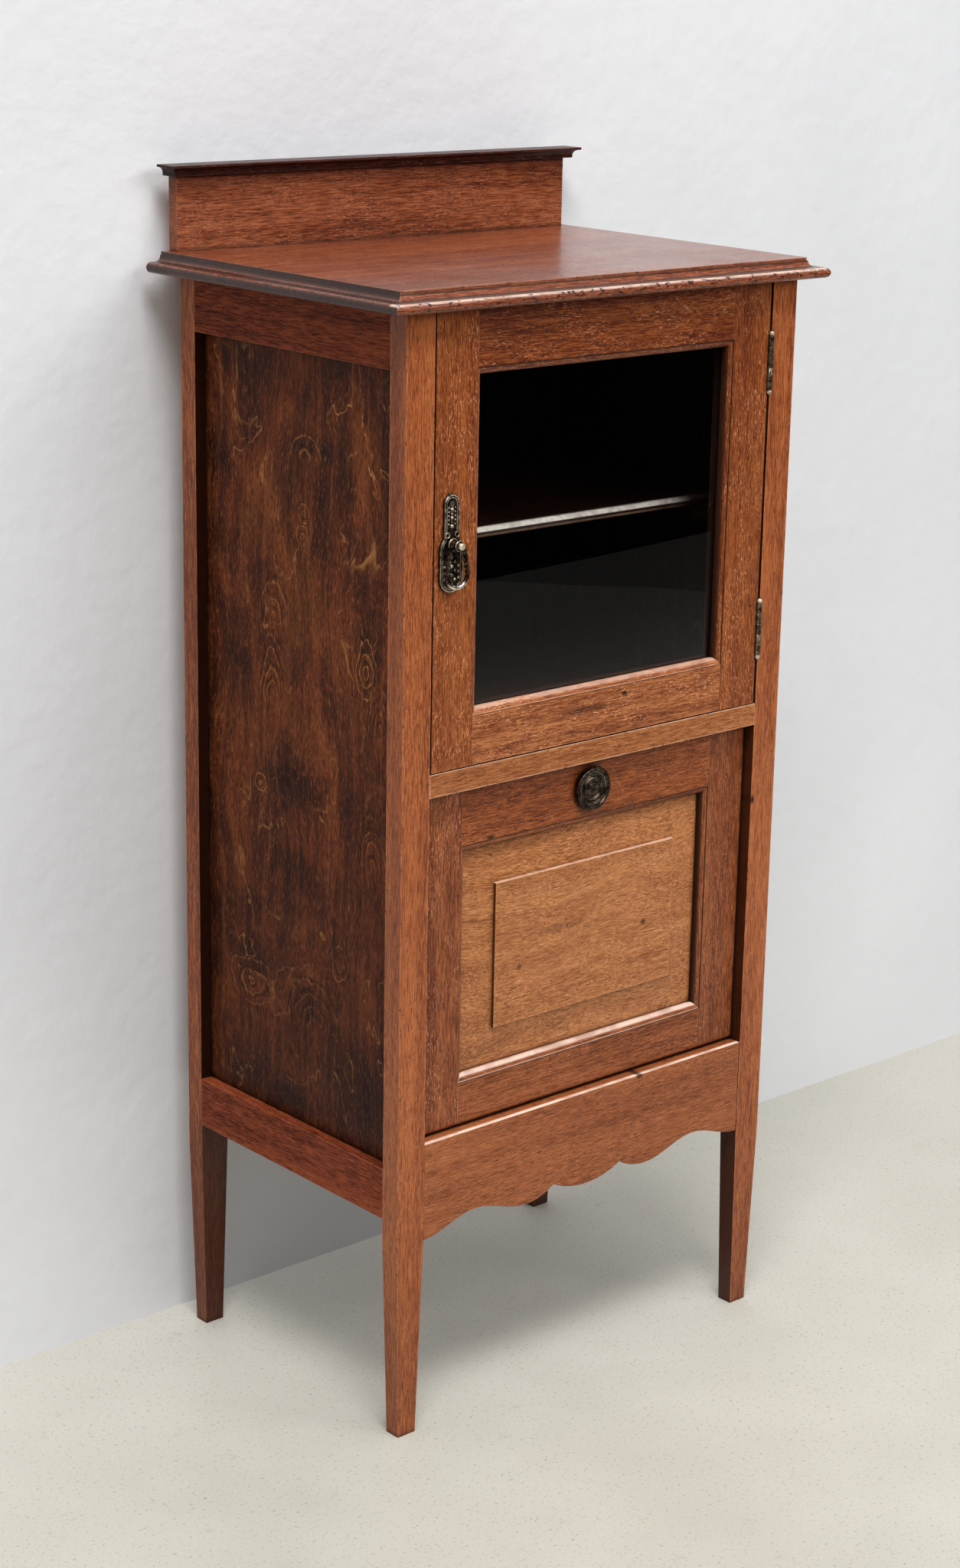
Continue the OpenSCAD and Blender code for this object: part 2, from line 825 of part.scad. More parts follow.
module door_stile_right() color(mahogany) difference() {
    leaf_stile(door_leaf, door_open, door_back, 1);
    hinge_room();
    hinge_screw_set(-1, snug);
}

module door_rail_top() color(mahogany) leaf_rail(door_leaf, door_open, door_back, 1);

module door_rail_bottom() color(mahogany) leaf_rail(door_leaf, door_open, door_back, -1);

module door_glass() color("lightcyan", 0.4) {
    block([door_open[0] + slip, dy0 + mould_d, door_open[2] + slip],
        [door_open[1] - slip, dy0 + mould_d + glass_t, door_open[3] - slip]);
}

module glazing_beads_upright() color(mahogany) {
    o = door_open;
    for (side = [-1, 1]) {
        x1 = side < 0 ? o[0] : o[1];
        x2 = x1 - side * bead_w;
        along_y(dy0 + mould_d + glass_t, dy1) polygon([[x1, o[2] + slip],
            [x2, o[2] + bead_w + slip], [x2, o[3] - bead_w - slip], [x1, o[3] - slip]]);
    }
}

module glazing_beads_level() color(mahogany) {
    o = door_open;
    for (side = [-1, 1]) {
        z1 = side < 0 ? o[2] : o[3];
        z2 = z1 - side * bead_w;
        along_y(dy0 + mould_d + glass_t, dy1) polygon([[o[0] + slip, z1],
            [o[0] + bead_w + slip, z2], [o[1] - bead_w - slip, z2], [o[1] - slip, z1]]);
    }
}

fall_leaf = [fx0, fx1, fy0, fy1, fz0, fz1];
fall_back = [[-field_groove, mould_d], [-field_groove, groove_y1 - fy0],
    [mould_w, groove_y1 - fy0], [mould_w, leaf_t + over]];

// What the rounded lower front edge of the fall leaves out
module fall_edge_waste() {
    difference() {
        block([fx0 - over, fy0 - over, fz0 - over], [fx1 + over, pivot_y, pivot_z]);
        pin_x([0, pivot_y, pivot_z], fx1 - fx0 + 4 * over, pivot_r);
    }
}

// Right pivot pin, and its bore when it is given play
module pivot_pin(play = 0) {
    x0 = fx1 - pivot_in - 5 * play;
    x1 = xi + tenon_l + 5 * play;
    pin_x([(x0 + x1) / 2, pivot_y, pivot_z], x1 - x0, pivot_d / 2 + play);
}

module fall_stile(side) color(mahogany) {
    difference() {
        leaf_stile(fall_leaf, fall_open, fall_back, side);
        fall_edge_waste();
        on_side(side) pivot_pin(run);
    }
}

module fall_stile_left() fall_stile(-1);

module fall_stile_right() fall_stile(1);

module fall_rail_top() color(mahogany) difference() {
    leaf_rail(fall_leaf, fall_open, fall_back, 1);
    catch_barrel_blank(snug);
    pull_stem(snug);
}

module fall_rail_bottom() color(mahogany) difference() {
    leaf_rail(fall_leaf, fall_open, fall_back, -1);
    fall_edge_waste();
}

// Section of the fielded panel across one direction: raised field, step, bevel, tongue
function field_section(a0, a1) =
    let (e = field_groove - 0.5, y2 = groove_y1 - slip, y1 = groove_y0 + slip,
        ys = fy0 + field_d + field_step, yt = fy0 + field_d)
    [[a0 - e, y2], [a0 - e, y1], [a0 + mould_w, y1], [a0 + field_margin, ys],
        [a0 + field_margin, yt], [a1 - field_margin, yt], [a1 - field_margin, ys],
        [a1 - mould_w, y1], [a1 + e, y1], [a1 + e, y2]];

module fall_panel() color(mahogany_light) {
    o = fall_open;
    intersection() {
        translate([0, 0, o[2] - field_groove]) linear_extrude(height = o[3] - o[2] + 2 * field_groove)
            polygon(field_section(o[0], o[1]));
        along_x(o[0] - field_groove, o[1] + field_groove)
            polygon([for (p = field_section(o[2], o[3])) [p.y, p.x]]);
    }
}

module fall_pivot_pins() color(brass) {
    for (side = [-1, 1]) on_side(side) pivot_pin();
}

// Room for the knuckles and balls of both hinges in the wood
module hinge_room() {
    for (z = hinge_zs)
        translate([hinge_x, hinge_y, z - hinge_room / 2])
            cylinder(h = hinge_room, r = knuckle_cut_r);
}

// The screws of the hinge leaves: into the post (1) or into the door (-1)
module hinge_screw_set(side, play = 0) {
    face = hinge_x + side * (hinge_gap / 2 - hinge_leaf_t);
    for (z = hinge_zs, i = [0 : 2])
        translate([face, dy0 + hinge_leaf_w * (i == 1 ? 0.7 : 0.42), z + screw_rows[i] * hinge_l])
            rotate([0, -side * 90, 0]) screw(hinge_screw_l, screw_d, screw_head_d, play);
}

// One hinge leaf: knuckles of its own, and room round those of the other leaf
module hinge_leaf(side, z) {
    x0 = hinge_x + side * (hinge_gap / 2 - hinge_leaf_t);
    x1 = hinge_x + side * hinge_gap / 2;
    own = side > 0 ? [0, 2, 4] : [1, 3];
    other = side > 0 ? [1, 3] : [0, 2, 4];
    z0 = z - hinge_l / 2;
    bore = hinge_pin_d / 2 + (side > 0 ? snug : run);
    difference() {
        union() {
            difference() {
                block([min(x0, x1), hinge_y, z0], [max(x0, x1), dy0 + hinge_leaf_w, z0 + hinge_l]);
                for (k = other)
                    translate([hinge_x, hinge_y, z0 + k * knuckle_l - slip])
                        cylinder(h = knuckle_l + 2 * slip, r = knuckle_d / 2 + 0.2);
            }
            for (k = own)
                translate([hinge_x, hinge_y, z0 + k * knuckle_l + slip / 2])
                    cylinder(h = knuckle_l - slip, r = knuckle_d / 2);
        }
        translate([hinge_x, hinge_y, z0 - over]) cylinder(h = hinge_l + 2 * over, r = bore);
    }
}

module hinge_case_leaves() color(brass) difference() {
    for (z = hinge_zs) hinge_leaf(1, z);
    hinge_screw_set(1, snug);
}

module hinge_door_leaves() color(brass) difference() {
    for (z = hinge_zs) hinge_leaf(-1, z);
    hinge_screw_set(-1, snug);
}

module hinge_pins() color(brass) {
    for (z = hinge_zs) {
        translate([hinge_x, hinge_y, z - hinge_l / 2 - 1])
            cylinder(h = hinge_l + 2, r = hinge_pin_d / 2);
        for (side = [-1, 1])
            translate([hinge_x, hinge_y, z + side * (hinge_ball_off + hinge_ball_d / 4)])
                sphere(d = hinge_ball_d);
    }
}

module hinge_case_screws() color(brass) hinge_screw_set(1);

module hinge_door_screws() color(brass) hinge_screw_set(-1);

// Handle: a long backplate, a turning spindle with a boss, a drop ring and a tongue

module spindle_shaft(play = 0) {
    pin_y(handle_x, handle_z, plate_y - over, latch_y + over, spindle_d / 2 + play);
}

module handle_screw_set(play = 0) {
    for (z = plate_screw_zs)
        translate([handle_x, plate_y, z]) rotate([90, 0, 0])
            screw(handle_screw_l, screw_d, screw_head_d, play);
}

module handle_backplate() color(bronze) difference() {
    r_top = plate_w / 2;
    r_low = shield_w / 2;
    union() {
        pin_y(handle_x, handle_z + plate_up - r_top, plate_y, dy0, r_top);
        block([handle_x - r_top, plate_y, handle_z], [handle_x + r_top, dy0, handle_z + plate_up - r_top]);
        pin_y(handle_x, handle_z - 5, plate_y, dy0, r_low);
        block([handle_x - r_low, plate_y, handle_z - plate_down + r_low],
            [handle_x + r_low, dy0, handle_z - 5]);
        pin_y(handle_x, handle_z - plate_down + r_low, plate_y, dy0, r_low);
        for (side = [-1, 1])
            pin_y(handle_x + side * ear_x, handle_z + ear_up, plate_y - ear_t, dy0, ear_r);
    }
    spindle_shaft(run);
    handle_screw_set(snug);
}

module handle_screws() color(bronze) handle_screw_set();

module handle_spindle() color(bronze) difference() {
    union() {
        pin_y(handle_x, handle_z, plate_y - slip, latch_y + latch_t, spindle_d / 2);
        pin_y(handle_x, handle_z, plate_y - 2.2, plate_y - slip, boss_d / 2 + 1.5);
        pin_y(handle_x, handle_z, boss_tip_y, plate_y - slip, boss_d / 2);
        translate([handle_x, boss_tip_y, handle_z]) sphere(d = boss_d);
        pin_y(handle_x, handle_z, dy1 + slip, latch_y, spindle_d / 2 + 1.5);
    }
    pin_x([handle_x, drop_y, handle_z], 2 * boss_d, drop_d / 2 + run);
}

module handle_ring() color(bronze) {
    r = drop_d / 2;
    mid = [handle_x, drop_y, handle_z - drop_h];
    pin_x([handle_x, drop_y, handle_z], 2 * drop_half, r);
    for (side = [-1, 1]) {
        high = [handle_x + side * drop_half, drop_y, handle_z];
        low = mid + drop_r * [side * sin(drop_turn), 0, cos(drop_turn)];
        tuck = (low - high) / norm(low - high);
        rod(low + tuck, high, r - 0.1);
        translate(high) sphere(r = r + 0.4);
    }
    translate(mid) rotate([90, 0, 0]) rotate([0, 0, 90 + drop_turn])
        rotate_extrude(angle = 360 - 2 * drop_turn) translate([drop_r, 0]) circle(r = r);
}

module latch_tongue() color(brass) difference() {
    union() {
        pin_y(handle_x, handle_z, latch_y, latch_y + latch_t, latch_w / 2 + 1);
        block([handle_x - latch_w / 2, latch_y, handle_z - tongue_reach],
            [handle_x + latch_w / 2, latch_y + latch_t, handle_z]);
    }
    pin_y(handle_x, handle_z, latch_y - over, latch_y + latch_t + over, spindle_d / 2 + snug);
}

// Ring pull: a rosette of rings with a lug, and a loose ring round it

module pull_stem(play = 0) {
    pin_y(0, pull_z, fy0 - over, fy1 - 4, 3 + play);
}

// Radius and rise of the rosette, from the middle out
function rosette_section() =
    let (r = pull_in_r, h = pull_rise, b = pull_base_t, n = 24)
    concat([[0, 0], [0, b + h]],
        [for (i = [1 : n]) let (t = i / n)
            [r * t, b + h * (0.62 + 0.2 * cos(360 * 3 * t) + 0.18 * (1 - t))]],
        [[r, b], [r + 2, b], [r + 2, 0]]);

module pull_rosette() color(bronze) difference() {
    union() {
        translate([0, fy0, pull_z]) rotate([90, 0, 0]) rotate_extrude() polygon(rosette_section());
        pin_y(0, pull_z, fy0 - over, fy1 - 4, 3);
        block([-lug_w / 2, pull_y, pull_z + pull_in_r - 3], [lug_w / 2, fy0, pull_z + lug_z + 1]);
        pin_x([0, pull_y, pull_z + lug_z], lug_w, pull_ring_d / 2 + 0.3);
    }
    pin_x([0, pull_y, pull_z + lug_z], 2 * lug_w, lug_pin_d / 2 + run);
}

module pull_ring() color(bronze) {
    difference() {
        translate([0, pull_y, pull_z]) rotate([90, 0, 0])
            rotate_extrude() translate([pull_r, 0]) circle(r = pull_ring_d / 2);
        block([-lug_half, pull_y - pull_ring_d, pull_z],
            [lug_half, pull_y + pull_ring_d, pull_z + pull_d]);
    }
    pin_x([0, pull_y, pull_z + lug_z], 2 * lug_half + 2 * over, lug_pin_d / 2);
}

// Catch between the top of the fall and the middle rail

module catch_barrel_blank(play = 0) {
    translate([0, catch_y, fz1 - catch_l - play]) cylinder(h = catch_l + over, r = catch_d / 2 + play);
}

module catch_barrel() color(brass) difference() {
    translate([0, catch_y, fz1 - catch_l]) cylinder(h = catch_l, r = catch_d / 2);
    translate([0, catch_y, fz1 - catch_l + 2])
        cylinder(h = catch_l - 2 - lip_t, r = collar_d / 2 + run);
    translate([0, catch_y, fz1 - catch_l + 3])
        cylinder(h = catch_l, r = plunger_d / 2 + run);
}

module catch_plunger() color(brass) {
    translate([0, catch_y, plunger_z]) sphere(d = plunger_d);
    translate([0, catch_y, collar_z - 1.5]) cylinder(h = plunger_z - collar_z + 1.5, r = plunger_d / 2);
    translate([0, catch_y, collar_z - 1.5]) cylinder(h = 1.5, r = collar_d / 2);
}

module catch_plate_blank(play, t) {
    l = catch_plate_l / 2 + play;
    w = catch_plate_w / 2 + play;
    block([-l, catch_y - w, mid_z - (play > 0 ? over : 0)], [l, catch_y + w, mid_z + t]);
}

module catch_plate() color(brass) difference() {
    catch_plate_blank(0, catch_plate_t);
    translate([0, catch_y, mid_z - over])
        cylinder(h = catch_plate_t + 2 * over, r = plunger_d / 2 - 0.4);
}

// A stop glued under a rail, just behind a closed leaf
module stop_block(y0, z1) {
    block([-stop_l / 2, y0 + stop_gap, z1 - stop_h], [stop_l / 2, y0 + stop_gap + stop_t, z1]);
}

module fall_stop() color(inner_wood) stop_block(fy1, mid_z);

module door_stop() color(inner_wood) stop_block(dy1, case_h - front_top_t);

post_front_left();
post_front_right();
post_back_left();
post_back_right();
side_top_rail_left();
side_top_rail_right();
side_bottom_rail_left();
side_bottom_rail_right();
side_panel_left();
side_panel_right();
back_top_rail();
back_bottom_rail();
back_panel();
front_top_rail();
middle_rail();
apron();
middle_board();
middle_bearer_left();
middle_bearer_right();
floor_board();
floor_bearer_left();
floor_bearer_right();
shelf();
shelf_bearer_left();
shelf_bearer_right();
top_board();
upstand_board();
upstand_cap();
top_screws();
upstand_screws();
door_stile_left();
door_stile_right();
door_rail_top();
door_rail_bottom();
door_glass();
glazing_beads_upright();
glazing_beads_level();
hinge_case_leaves();
hinge_door_leaves();
hinge_pins();
hinge_case_screws();
hinge_door_screws();
handle_backplate();
handle_screws();
handle_spindle();
handle_ring();
latch_tongue();
fall_stile_left();
fall_stile_right();
fall_rail_top();
fall_rail_bottom();
fall_panel();
fall_pivot_pins();
pull_rosette();
pull_ring();
catch_barrel();
catch_plunger();
catch_plate();
fall_stop();
door_stop();
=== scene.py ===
import math

import bmesh
import bpy
from mathutils import Matrix, Vector


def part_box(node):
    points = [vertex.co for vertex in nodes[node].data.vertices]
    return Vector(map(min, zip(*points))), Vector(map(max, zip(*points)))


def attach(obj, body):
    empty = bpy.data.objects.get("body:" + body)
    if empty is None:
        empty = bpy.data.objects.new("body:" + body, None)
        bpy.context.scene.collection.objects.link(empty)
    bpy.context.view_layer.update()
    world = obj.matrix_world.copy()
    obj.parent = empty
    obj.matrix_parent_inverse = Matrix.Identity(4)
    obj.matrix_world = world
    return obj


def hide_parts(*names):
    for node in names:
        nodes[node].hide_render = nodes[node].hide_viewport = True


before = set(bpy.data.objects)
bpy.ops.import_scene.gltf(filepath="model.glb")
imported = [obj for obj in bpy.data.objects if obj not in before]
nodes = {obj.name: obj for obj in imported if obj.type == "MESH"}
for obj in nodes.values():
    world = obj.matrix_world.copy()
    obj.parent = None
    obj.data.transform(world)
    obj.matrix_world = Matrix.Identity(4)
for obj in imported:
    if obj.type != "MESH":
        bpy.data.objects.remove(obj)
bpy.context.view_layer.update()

MM = 0.001
scene = bpy.context.scene


# Colours and small helpers


def tone(code):
    """A colour written as six hex digits, turned into linear light."""
    parts = [int(code[i : i + 2], 16) / 255 for i in (0, 2, 4)]
    linear = [c / 12.92 if c <= 0.04045 else ((c + 0.055) / 1.055) ** 2.4 for c in parts]
    return (*linear, 1.0)


def shaded(colour, factor, lift=0.0):
    """A colour made darker or paler."""
    return (*(min(1.0, c * factor + lift) for c in colour[:3]), 1.0)


def link_object(name, data):
    obj = bpy.data.objects.new(name, data)
    scene.collection.objects.link(obj)
    return obj


# The colour sockets of a Mix node
MIX_A, MIX_B, MIX_RESULT = 6, 7, 2


class Shade:
    """One node material, and the few kinds of node that the materials here are made of."""

    def __init__(self, name):
        self.material = bpy.data.materials.new(name)
        self.material.use_nodes = True
        self.tree = self.material.node_tree
        self.tree.nodes.clear()
        self.output = self.node("ShaderNodeOutputMaterial")
        self.here = self.node("ShaderNodeTexCoord").outputs["Object"]
        self.xyz = self.split(self.here)
        self.colour = None

    def node(self, kind, sockets=None, **settings):
        made = self.tree.nodes.new(kind)
        for key, value in settings.items():
            setattr(made, key, value)
        for key, value in (sockets or {}).items():
            self.feed(value, made.inputs[key])
        return made

    def feed(self, value, socket):
        if isinstance(value, bpy.types.NodeSocket):
            self.tree.links.new(value, socket)
        else:
            socket.default_value = value

    def math(self, operation, a, b=0.0, clamp=False):
        return self.node("ShaderNodeMath", {0: a, 1: b}, operation=operation, use_clamp=clamp).outputs[0]

    def times(self, a, b):
        return self.math("MULTIPLY", a, b)

    def plus(self, a, b, clamp=False):
        return self.math("ADD", a, b, clamp)

    def minus(self, a, b, clamp=False):
        return self.math("SUBTRACT", a, b, clamp)

    def around(self, noise, amount):
        """A noise laid evenly about zero, and scaled."""
        return self.times(self.minus(noise, 0.5), amount)

    def vector(self, operation, a, b=(0, 0, 0)):
        made = self.node("ShaderNodeVectorMath", {0: a, 1: b}, operation=operation)
        return made.outputs["Value" if operation in ("LENGTH", "DOT_PRODUCT") else "Vector"]

    def split(self, vector):
        return self.node("ShaderNodeSeparateXYZ", {0: vector}).outputs

    def join(self, x, y, z):
        return self.node("ShaderNodeCombineXYZ", {0: x, 1: y, 2: z}).outputs[0]

    def noise(self, vector, scale, detail=2.0, rough=0.5, warp=0.0):
        values = {"Vector": vector, "Scale": scale, "Detail": detail, "Roughness": rough, "Distortion": warp}
        return self.node("ShaderNodeTexNoise", values).outputs[0]

    def steps(self, value, low, high, out_low=0.0, out_high=1.0):
        """Maps low..high smoothly to out_low..out_high, held at both ends."""
        values = {0: value, 1: low, 2: high, 3: out_low, 4: out_high}
        return self.node("ShaderNodeMapRange", values, interpolation_type="SMOOTHSTEP").outputs[0]

    def ramp(self, value, *stops):
        made = self.node("ShaderNodeValToRGB", {0: value})
        band = made.color_ramp
        while len(band.elements) < len(stops):
            band.elements.new(0.5)
        for element, (at, colour) in zip(band.elements, stops):
            element.position = at
            element.color = colour
        return made.outputs[0]

    def mix(self, share, a, b):
        made = self.node("ShaderNodeMix", {0: share, MIX_A: a, MIX_B: b}, data_type="RGBA")
        return made.outputs[MIX_RESULT]

    def over(self, share, colour):
        """Lays a colour over what there is."""
        self.colour = self.mix(share, self.colour, colour)

    def bump(self, height, depth, strength=1.0):
        values = {"Height": height, "Distance": depth, "Strength": strength}
        return self.node("ShaderNodeBump", values).outputs[0]

    def facing(self, which="True Normal"):
        """The normal in the object's own space, so that a stain stays put when the piece moves."""
        normal = self.node("ShaderNodeNewGeometry").outputs[which]
        kinds = dict(vector_type="NORMAL", convert_from="WORLD", convert_to="OBJECT")
        return self.split(self.node("ShaderNodeVectorTransform", {0: normal}, **kinds).outputs[0])

    def edges(self, radius=0.0025, reach=0.008):
        """(worn, dirt_and_shade): worn is 1 on outer arrises, dirt_and_shade is 1 deep in inner corners that
        don't look up, for grime and painted shade.
        """
        bevel = self.node("ShaderNodeBevel", {"Radius": radius}, samples=6).outputs[0]
        normal = self.node("ShaderNodeNewGeometry").outputs["Normal"]
        bent = self.steps(self.vector("DOT_PRODUCT", bevel, normal), 0.995, 0.86)
        open_sky = self.node("ShaderNodeAmbientOcclusion", {"Distance": reach}, samples=8).outputs["AO"]
        rise = self.steps(self.facing()[2], 0.2, 0.7)
        dirt_and_shade = self.steps(open_sky, self.minus(0.93, self.times(rise, 0.33)), 0.28)
        return self.times(bent, self.steps(open_sky, 0.6, 0.85)), dirt_and_shade

    def surface(self, **values):
        shader = self.node("ShaderNodeBsdfPrincipled", {k.replace("_", " "): v for k, v in values.items()})
        self.feed(shader.outputs[0], self.output.inputs[0])
        return shader

    def let_through(self, share, shader, colour):
        """Lets light straight through the surface, tinted, where share is 1."""
        clear = self.node("ShaderNodeBsdfTransparent", {0: colour})
        either = self.node("ShaderNodeMixShader", {0: share, 1: shader.outputs[0], 2: clear.outputs[0]})
        self.feed(either.outputs[0], self.output.inputs[0])


# Wood

# Height of the side rails' lower edge, where the legs begin, in metres
LEG_TOP = 0.224
# For each grain axis: which coordinates run across the grain, into it and along it
GRAIN_ORDER = {"X": (1, 2, 0), "Y": (0, 2, 1), "Z": (0, 1, 2)}
# How far the board's seed moves its slow cloud and its grain
CLOUD_SHIFT = (0.37, 0.11, 0.53)
GRAIN_SHIFT = (0.731, 0.417, 0.293)
# Pale bare arrises: worn, and a painted highlight.
BARE_ARRIS_HIGHLIGHT = tone("f0bfa0")
# The painted highlight on faces that look up, with some rubbing.
WORN_HIGHLIGHT = tone("f8dccb")
# Noises drawn out along the grain, as (scale, stretch, detail, roughness, warp)
BANDS = (17.0, 0.16, 2.0, 0.55, 0.0)
RIBBON = (70.0, 0.03, 5.0, 0.62, 0.2)
FIBRE = (1000.0, 0.06, 3.0, 0.65, 0.0)
PORES = (1300.0, 0.1, 2.0, 0.6, 0.0)
FLECKS = (1050.0, 0.2, 2.0, 0.65, 0.0)
FLECK_PATCHES = (40.0, 0.5, 4.0, 0.65, 0.0)
# A board's other noises, as (scale, detail, roughness)
SLOW_CLOUD = (9.0, 2.0, 0.5)
RUB_PATCHES = (60.0, 3.0, 0.5)
BARE_HIGHLIGHT_PATCHES = (35.0, 3.0, 0.5)
HIGHLIGHT_PATCHES = (45.0, 3.0, 0.5)
KNOCKS = (190.0, 2.0, 0.7)
NICKS = (260.0, 2.0, 0.7)
RIPPLES = (14.0, 1.0, 0.5)
# The varnish: the depth of the grain under it, in metres, and its own roughness and refraction
GRAIN_DEPTH, VARNISH_ROUGH, VARNISH_IOR = 0.0002, 0.12, 1.45
# Brings the product of a post's side and place to 1 where its face looks into the case
INWARD = -4.3


class Board(Shade):
    """Mahogany with its grain along one axis. Each method lays one more thing over self.colour."""

    def __init__(self, name, axis, seed, dark, mid, light, figure, streaks, wave):
        super().__init__(name)
        self.dark, self.light, self.pale = dark, light, shaded(light, 1.5, 0.08)
        self.slow = self.noise(self.moved(self.here, seed, CLOUD_SHIFT), *SLOW_CLOUD)
        across, deep, along = (self.xyz[i] for i in GRAIN_ORDER[axis])
        if wave:
            push = self.around(self.slow, wave)
            deep = self.plus(deep, push)
            across = self.plus(across, push)
        self.grain = self.moved(self.join(across, deep, along), seed, GRAIN_SHIFT)
        self.ribbon = self.streak(*RIBBON)
        self.fibre = self.streak(*FIBRE)
        blend = self.plus(self.around(self.streak(*BANDS), 0.2 + 0.7 * figure), 0.5)
        blend = self.plus(blend, self.around(self.ribbon, 1.8 * streaks))
        blend = self.plus(blend, self.around(self.fibre, 2.1), clamp=True)
        self.colour = self.ramp(blend, (0.18, dark), (0.5, mid), (0.84, light))

    def moved(self, vector, seed, shift):
        return self.vector("ADD", vector, tuple(seed * part for part in shift))

    def streak(self, scale, stretch, detail, rough, warp):
        """A noise drawn out along the grain."""
        return self.noise(self.vector("MULTIPLY", self.grain, (1, 1, stretch)), scale, detail, rough, warp)

    def near_black(self, share):
        return shaded(self.dark, share)

    def pores_and_flecks(self, flecks):
        pores = self.steps(self.streak(*PORES), 0.56, 0.68)
        self.pores = self.times(pores, self.steps(self.slow, 0.3, 0.6, 0.4, 0.85))
        self.over(self.pores, self.near_black(0.35))
        dashes = self.steps(self.streak(*FLECKS), 0.55, 0.66)
        patches = self.steps(self.streak(*FLECK_PATCHES), 0.38, 0.62, 0.15, 1.0)
        self.over(self.times(self.times(dashes, patches), flecks), self.pale)

    def wear_and_shade(self, rub_and_highlight):
        """Rubbed and knocked arrises, the rubbed ones partly a painted highlight, and inner corners darkened
        with grime and painted shade.
        """
        worn, self.dirt_and_shade = self.edges()
        patchy = self.steps(self.noise(self.here, *RUB_PATCHES), 0.35, 0.65, 0.2, 0.85)
        self.over(self.times(worn, patchy), shaded(self.light, 1.25, 0.04))
        # Where rub_and_highlight is set, arrises turn pale: worn bare, and a painted highlight.
        if rub_and_highlight:
            bare_and_lit = self.steps(self.noise(self.here, *BARE_HIGHLIGHT_PATCHES), 0.35, 0.55, 0.5 * rub_and_highlight, rub_and_highlight)
            self.over(self.times(worn, bare_and_lit), BARE_ARRIS_HIGHLIGHT)
        knocks = self.times(worn, self.steps(self.noise(self.here, *KNOCKS), 0.58, 0.66))
        self.over(self.times(knocks, 0.9), self.near_black(0.2))
        # Inner corners darkened: grime, and painted shade.
        self.over(self.times(self.dirt_and_shade, 0.92), self.near_black(0.12))

    def shade_left(self, strength, share):
        """Paints shade on the steep faces that look to -X."""
        self.over(self.steps(self.facing()[0], -0.45, -0.9, 0.0, strength), self.near_black(share))

    def shade_inside(self):
        """Paints shade on the faces of a back post that close the case, and on its leg."""
        facing = self.facing()
        inward = self.times(self.times(facing[0], self.xyz[0]), INWARD)
        inner = self.steps(self.math("MAXIMUM", self.times(facing[1], -1.0), inward), 0.4, 0.8)
        high = self.steps(self.xyz[2], LEG_TOP, LEG_TOP + 0.004, 0.7, 0.97)
        self.over(self.times(inner, high), self.near_black(0.12))
        self.over(self.steps(self.xyz[2], LEG_TOP + 0.01, LEG_TOP - 0.02, 0.0, 0.35), self.near_black(0.5))

    def wear_and_highlight_up(self, strength, front_only):
        """Lays a pale tone on the faces that look up: a painted highlight, with some rubbing. With
        front_only, just those in front of that Y.
        """
        worn_and_lit = self.times(self.steps(self.facing("Normal")[2], 0.45, 0.8), self.steps(self.dirt_and_shade, 0.35, 0.0))
        worn_and_lit = self.times(worn_and_lit, self.steps(self.noise(self.here, *HIGHLIGHT_PATCHES), 0.3, 0.6, 0.55, 1.0))
        if front_only is not None:
            worn_and_lit = self.times(worn_and_lit, self.steps(self.xyz[1], (front_only + 2) * MM, front_only * MM))
        self.over(self.times(worn_and_lit, strength), WORN_HIGHLIGHT)

    # Painted shade low on a post, darker towards the floor.
    def darken_foot(self, strength):
        self.over(self.steps(self.xyz[2], LEG_TOP + 0.06, 0.05, 0.0, strength), self.near_black(0.3))

    def seam(self, which, at, half, strength):
        off = self.math("ABSOLUTE", self.minus(self.xyz[which], at * MM))
        self.over(self.steps(off, half * MM, 0.35 * half * MM, 0.0, strength), self.near_black(0.14))

    def nick(self, low, high):
        band = self.times(
            self.steps(self.xyz[2], low * MM, (low + 2) * MM),
            self.steps(self.xyz[2], high * MM, (high - 1) * MM),
        )
        pits = self.noise(self.vector("MULTIPLY", self.here, (0.6, 1, 1)), *NICKS)
        self.over(self.times(self.steps(pits, 0.57, 0.62), self.times(band, 0.9)), self.near_black(0.16))

    def spot(self, at_x, at_z, half_x, half_z, strength):
        off = self.vector("SUBTRACT", self.join(self.xyz[0], 0.0, self.xyz[2]), (at_x * MM, 0, at_z * MM))
        off = self.vector("MULTIPLY", off, (1 / (half_x * MM), 0, 1 / (half_z * MM)))
        ragged = self.plus(self.vector("LENGTH", off), self.around(self.ribbon, 1.2))
        share = self.steps(ragged, 1.0, 0.35, 0.0, abs(strength))
        self.over(share, self.near_black(0.15) if strength < 0 else self.pale)

    def varnish(self, gloss, shine, coat):
        rough = self.plus(gloss, self.around(self.slow, 0.22))
        rough = self.plus(rough, self.times(self.pores, 0.2))
        rough = self.plus(rough, self.times(self.dirt_and_shade, 0.25), clamp=True)
        height = self.minus(self.times(self.ribbon, 0.4), self.times(self.pores, 0.4))
        height = self.plus(height, self.times(self.fibre, 0.4))
        height = self.plus(height, self.times(self.noise(self.here, *RIPPLES), 1.6))
        shader = self.surface(Base_Color=self.colour, Roughness=rough, Normal=self.bump(height, GRAIN_DEPTH))
        shader.inputs["Specular IOR Level"].default_value = shine
        shader.inputs["Coat Weight"].default_value = coat
        shader.inputs["Coat Roughness"].default_value = VARNISH_ROUGH
        shader.inputs["Coat IOR"].default_value = VARNISH_IOR
        return self.material


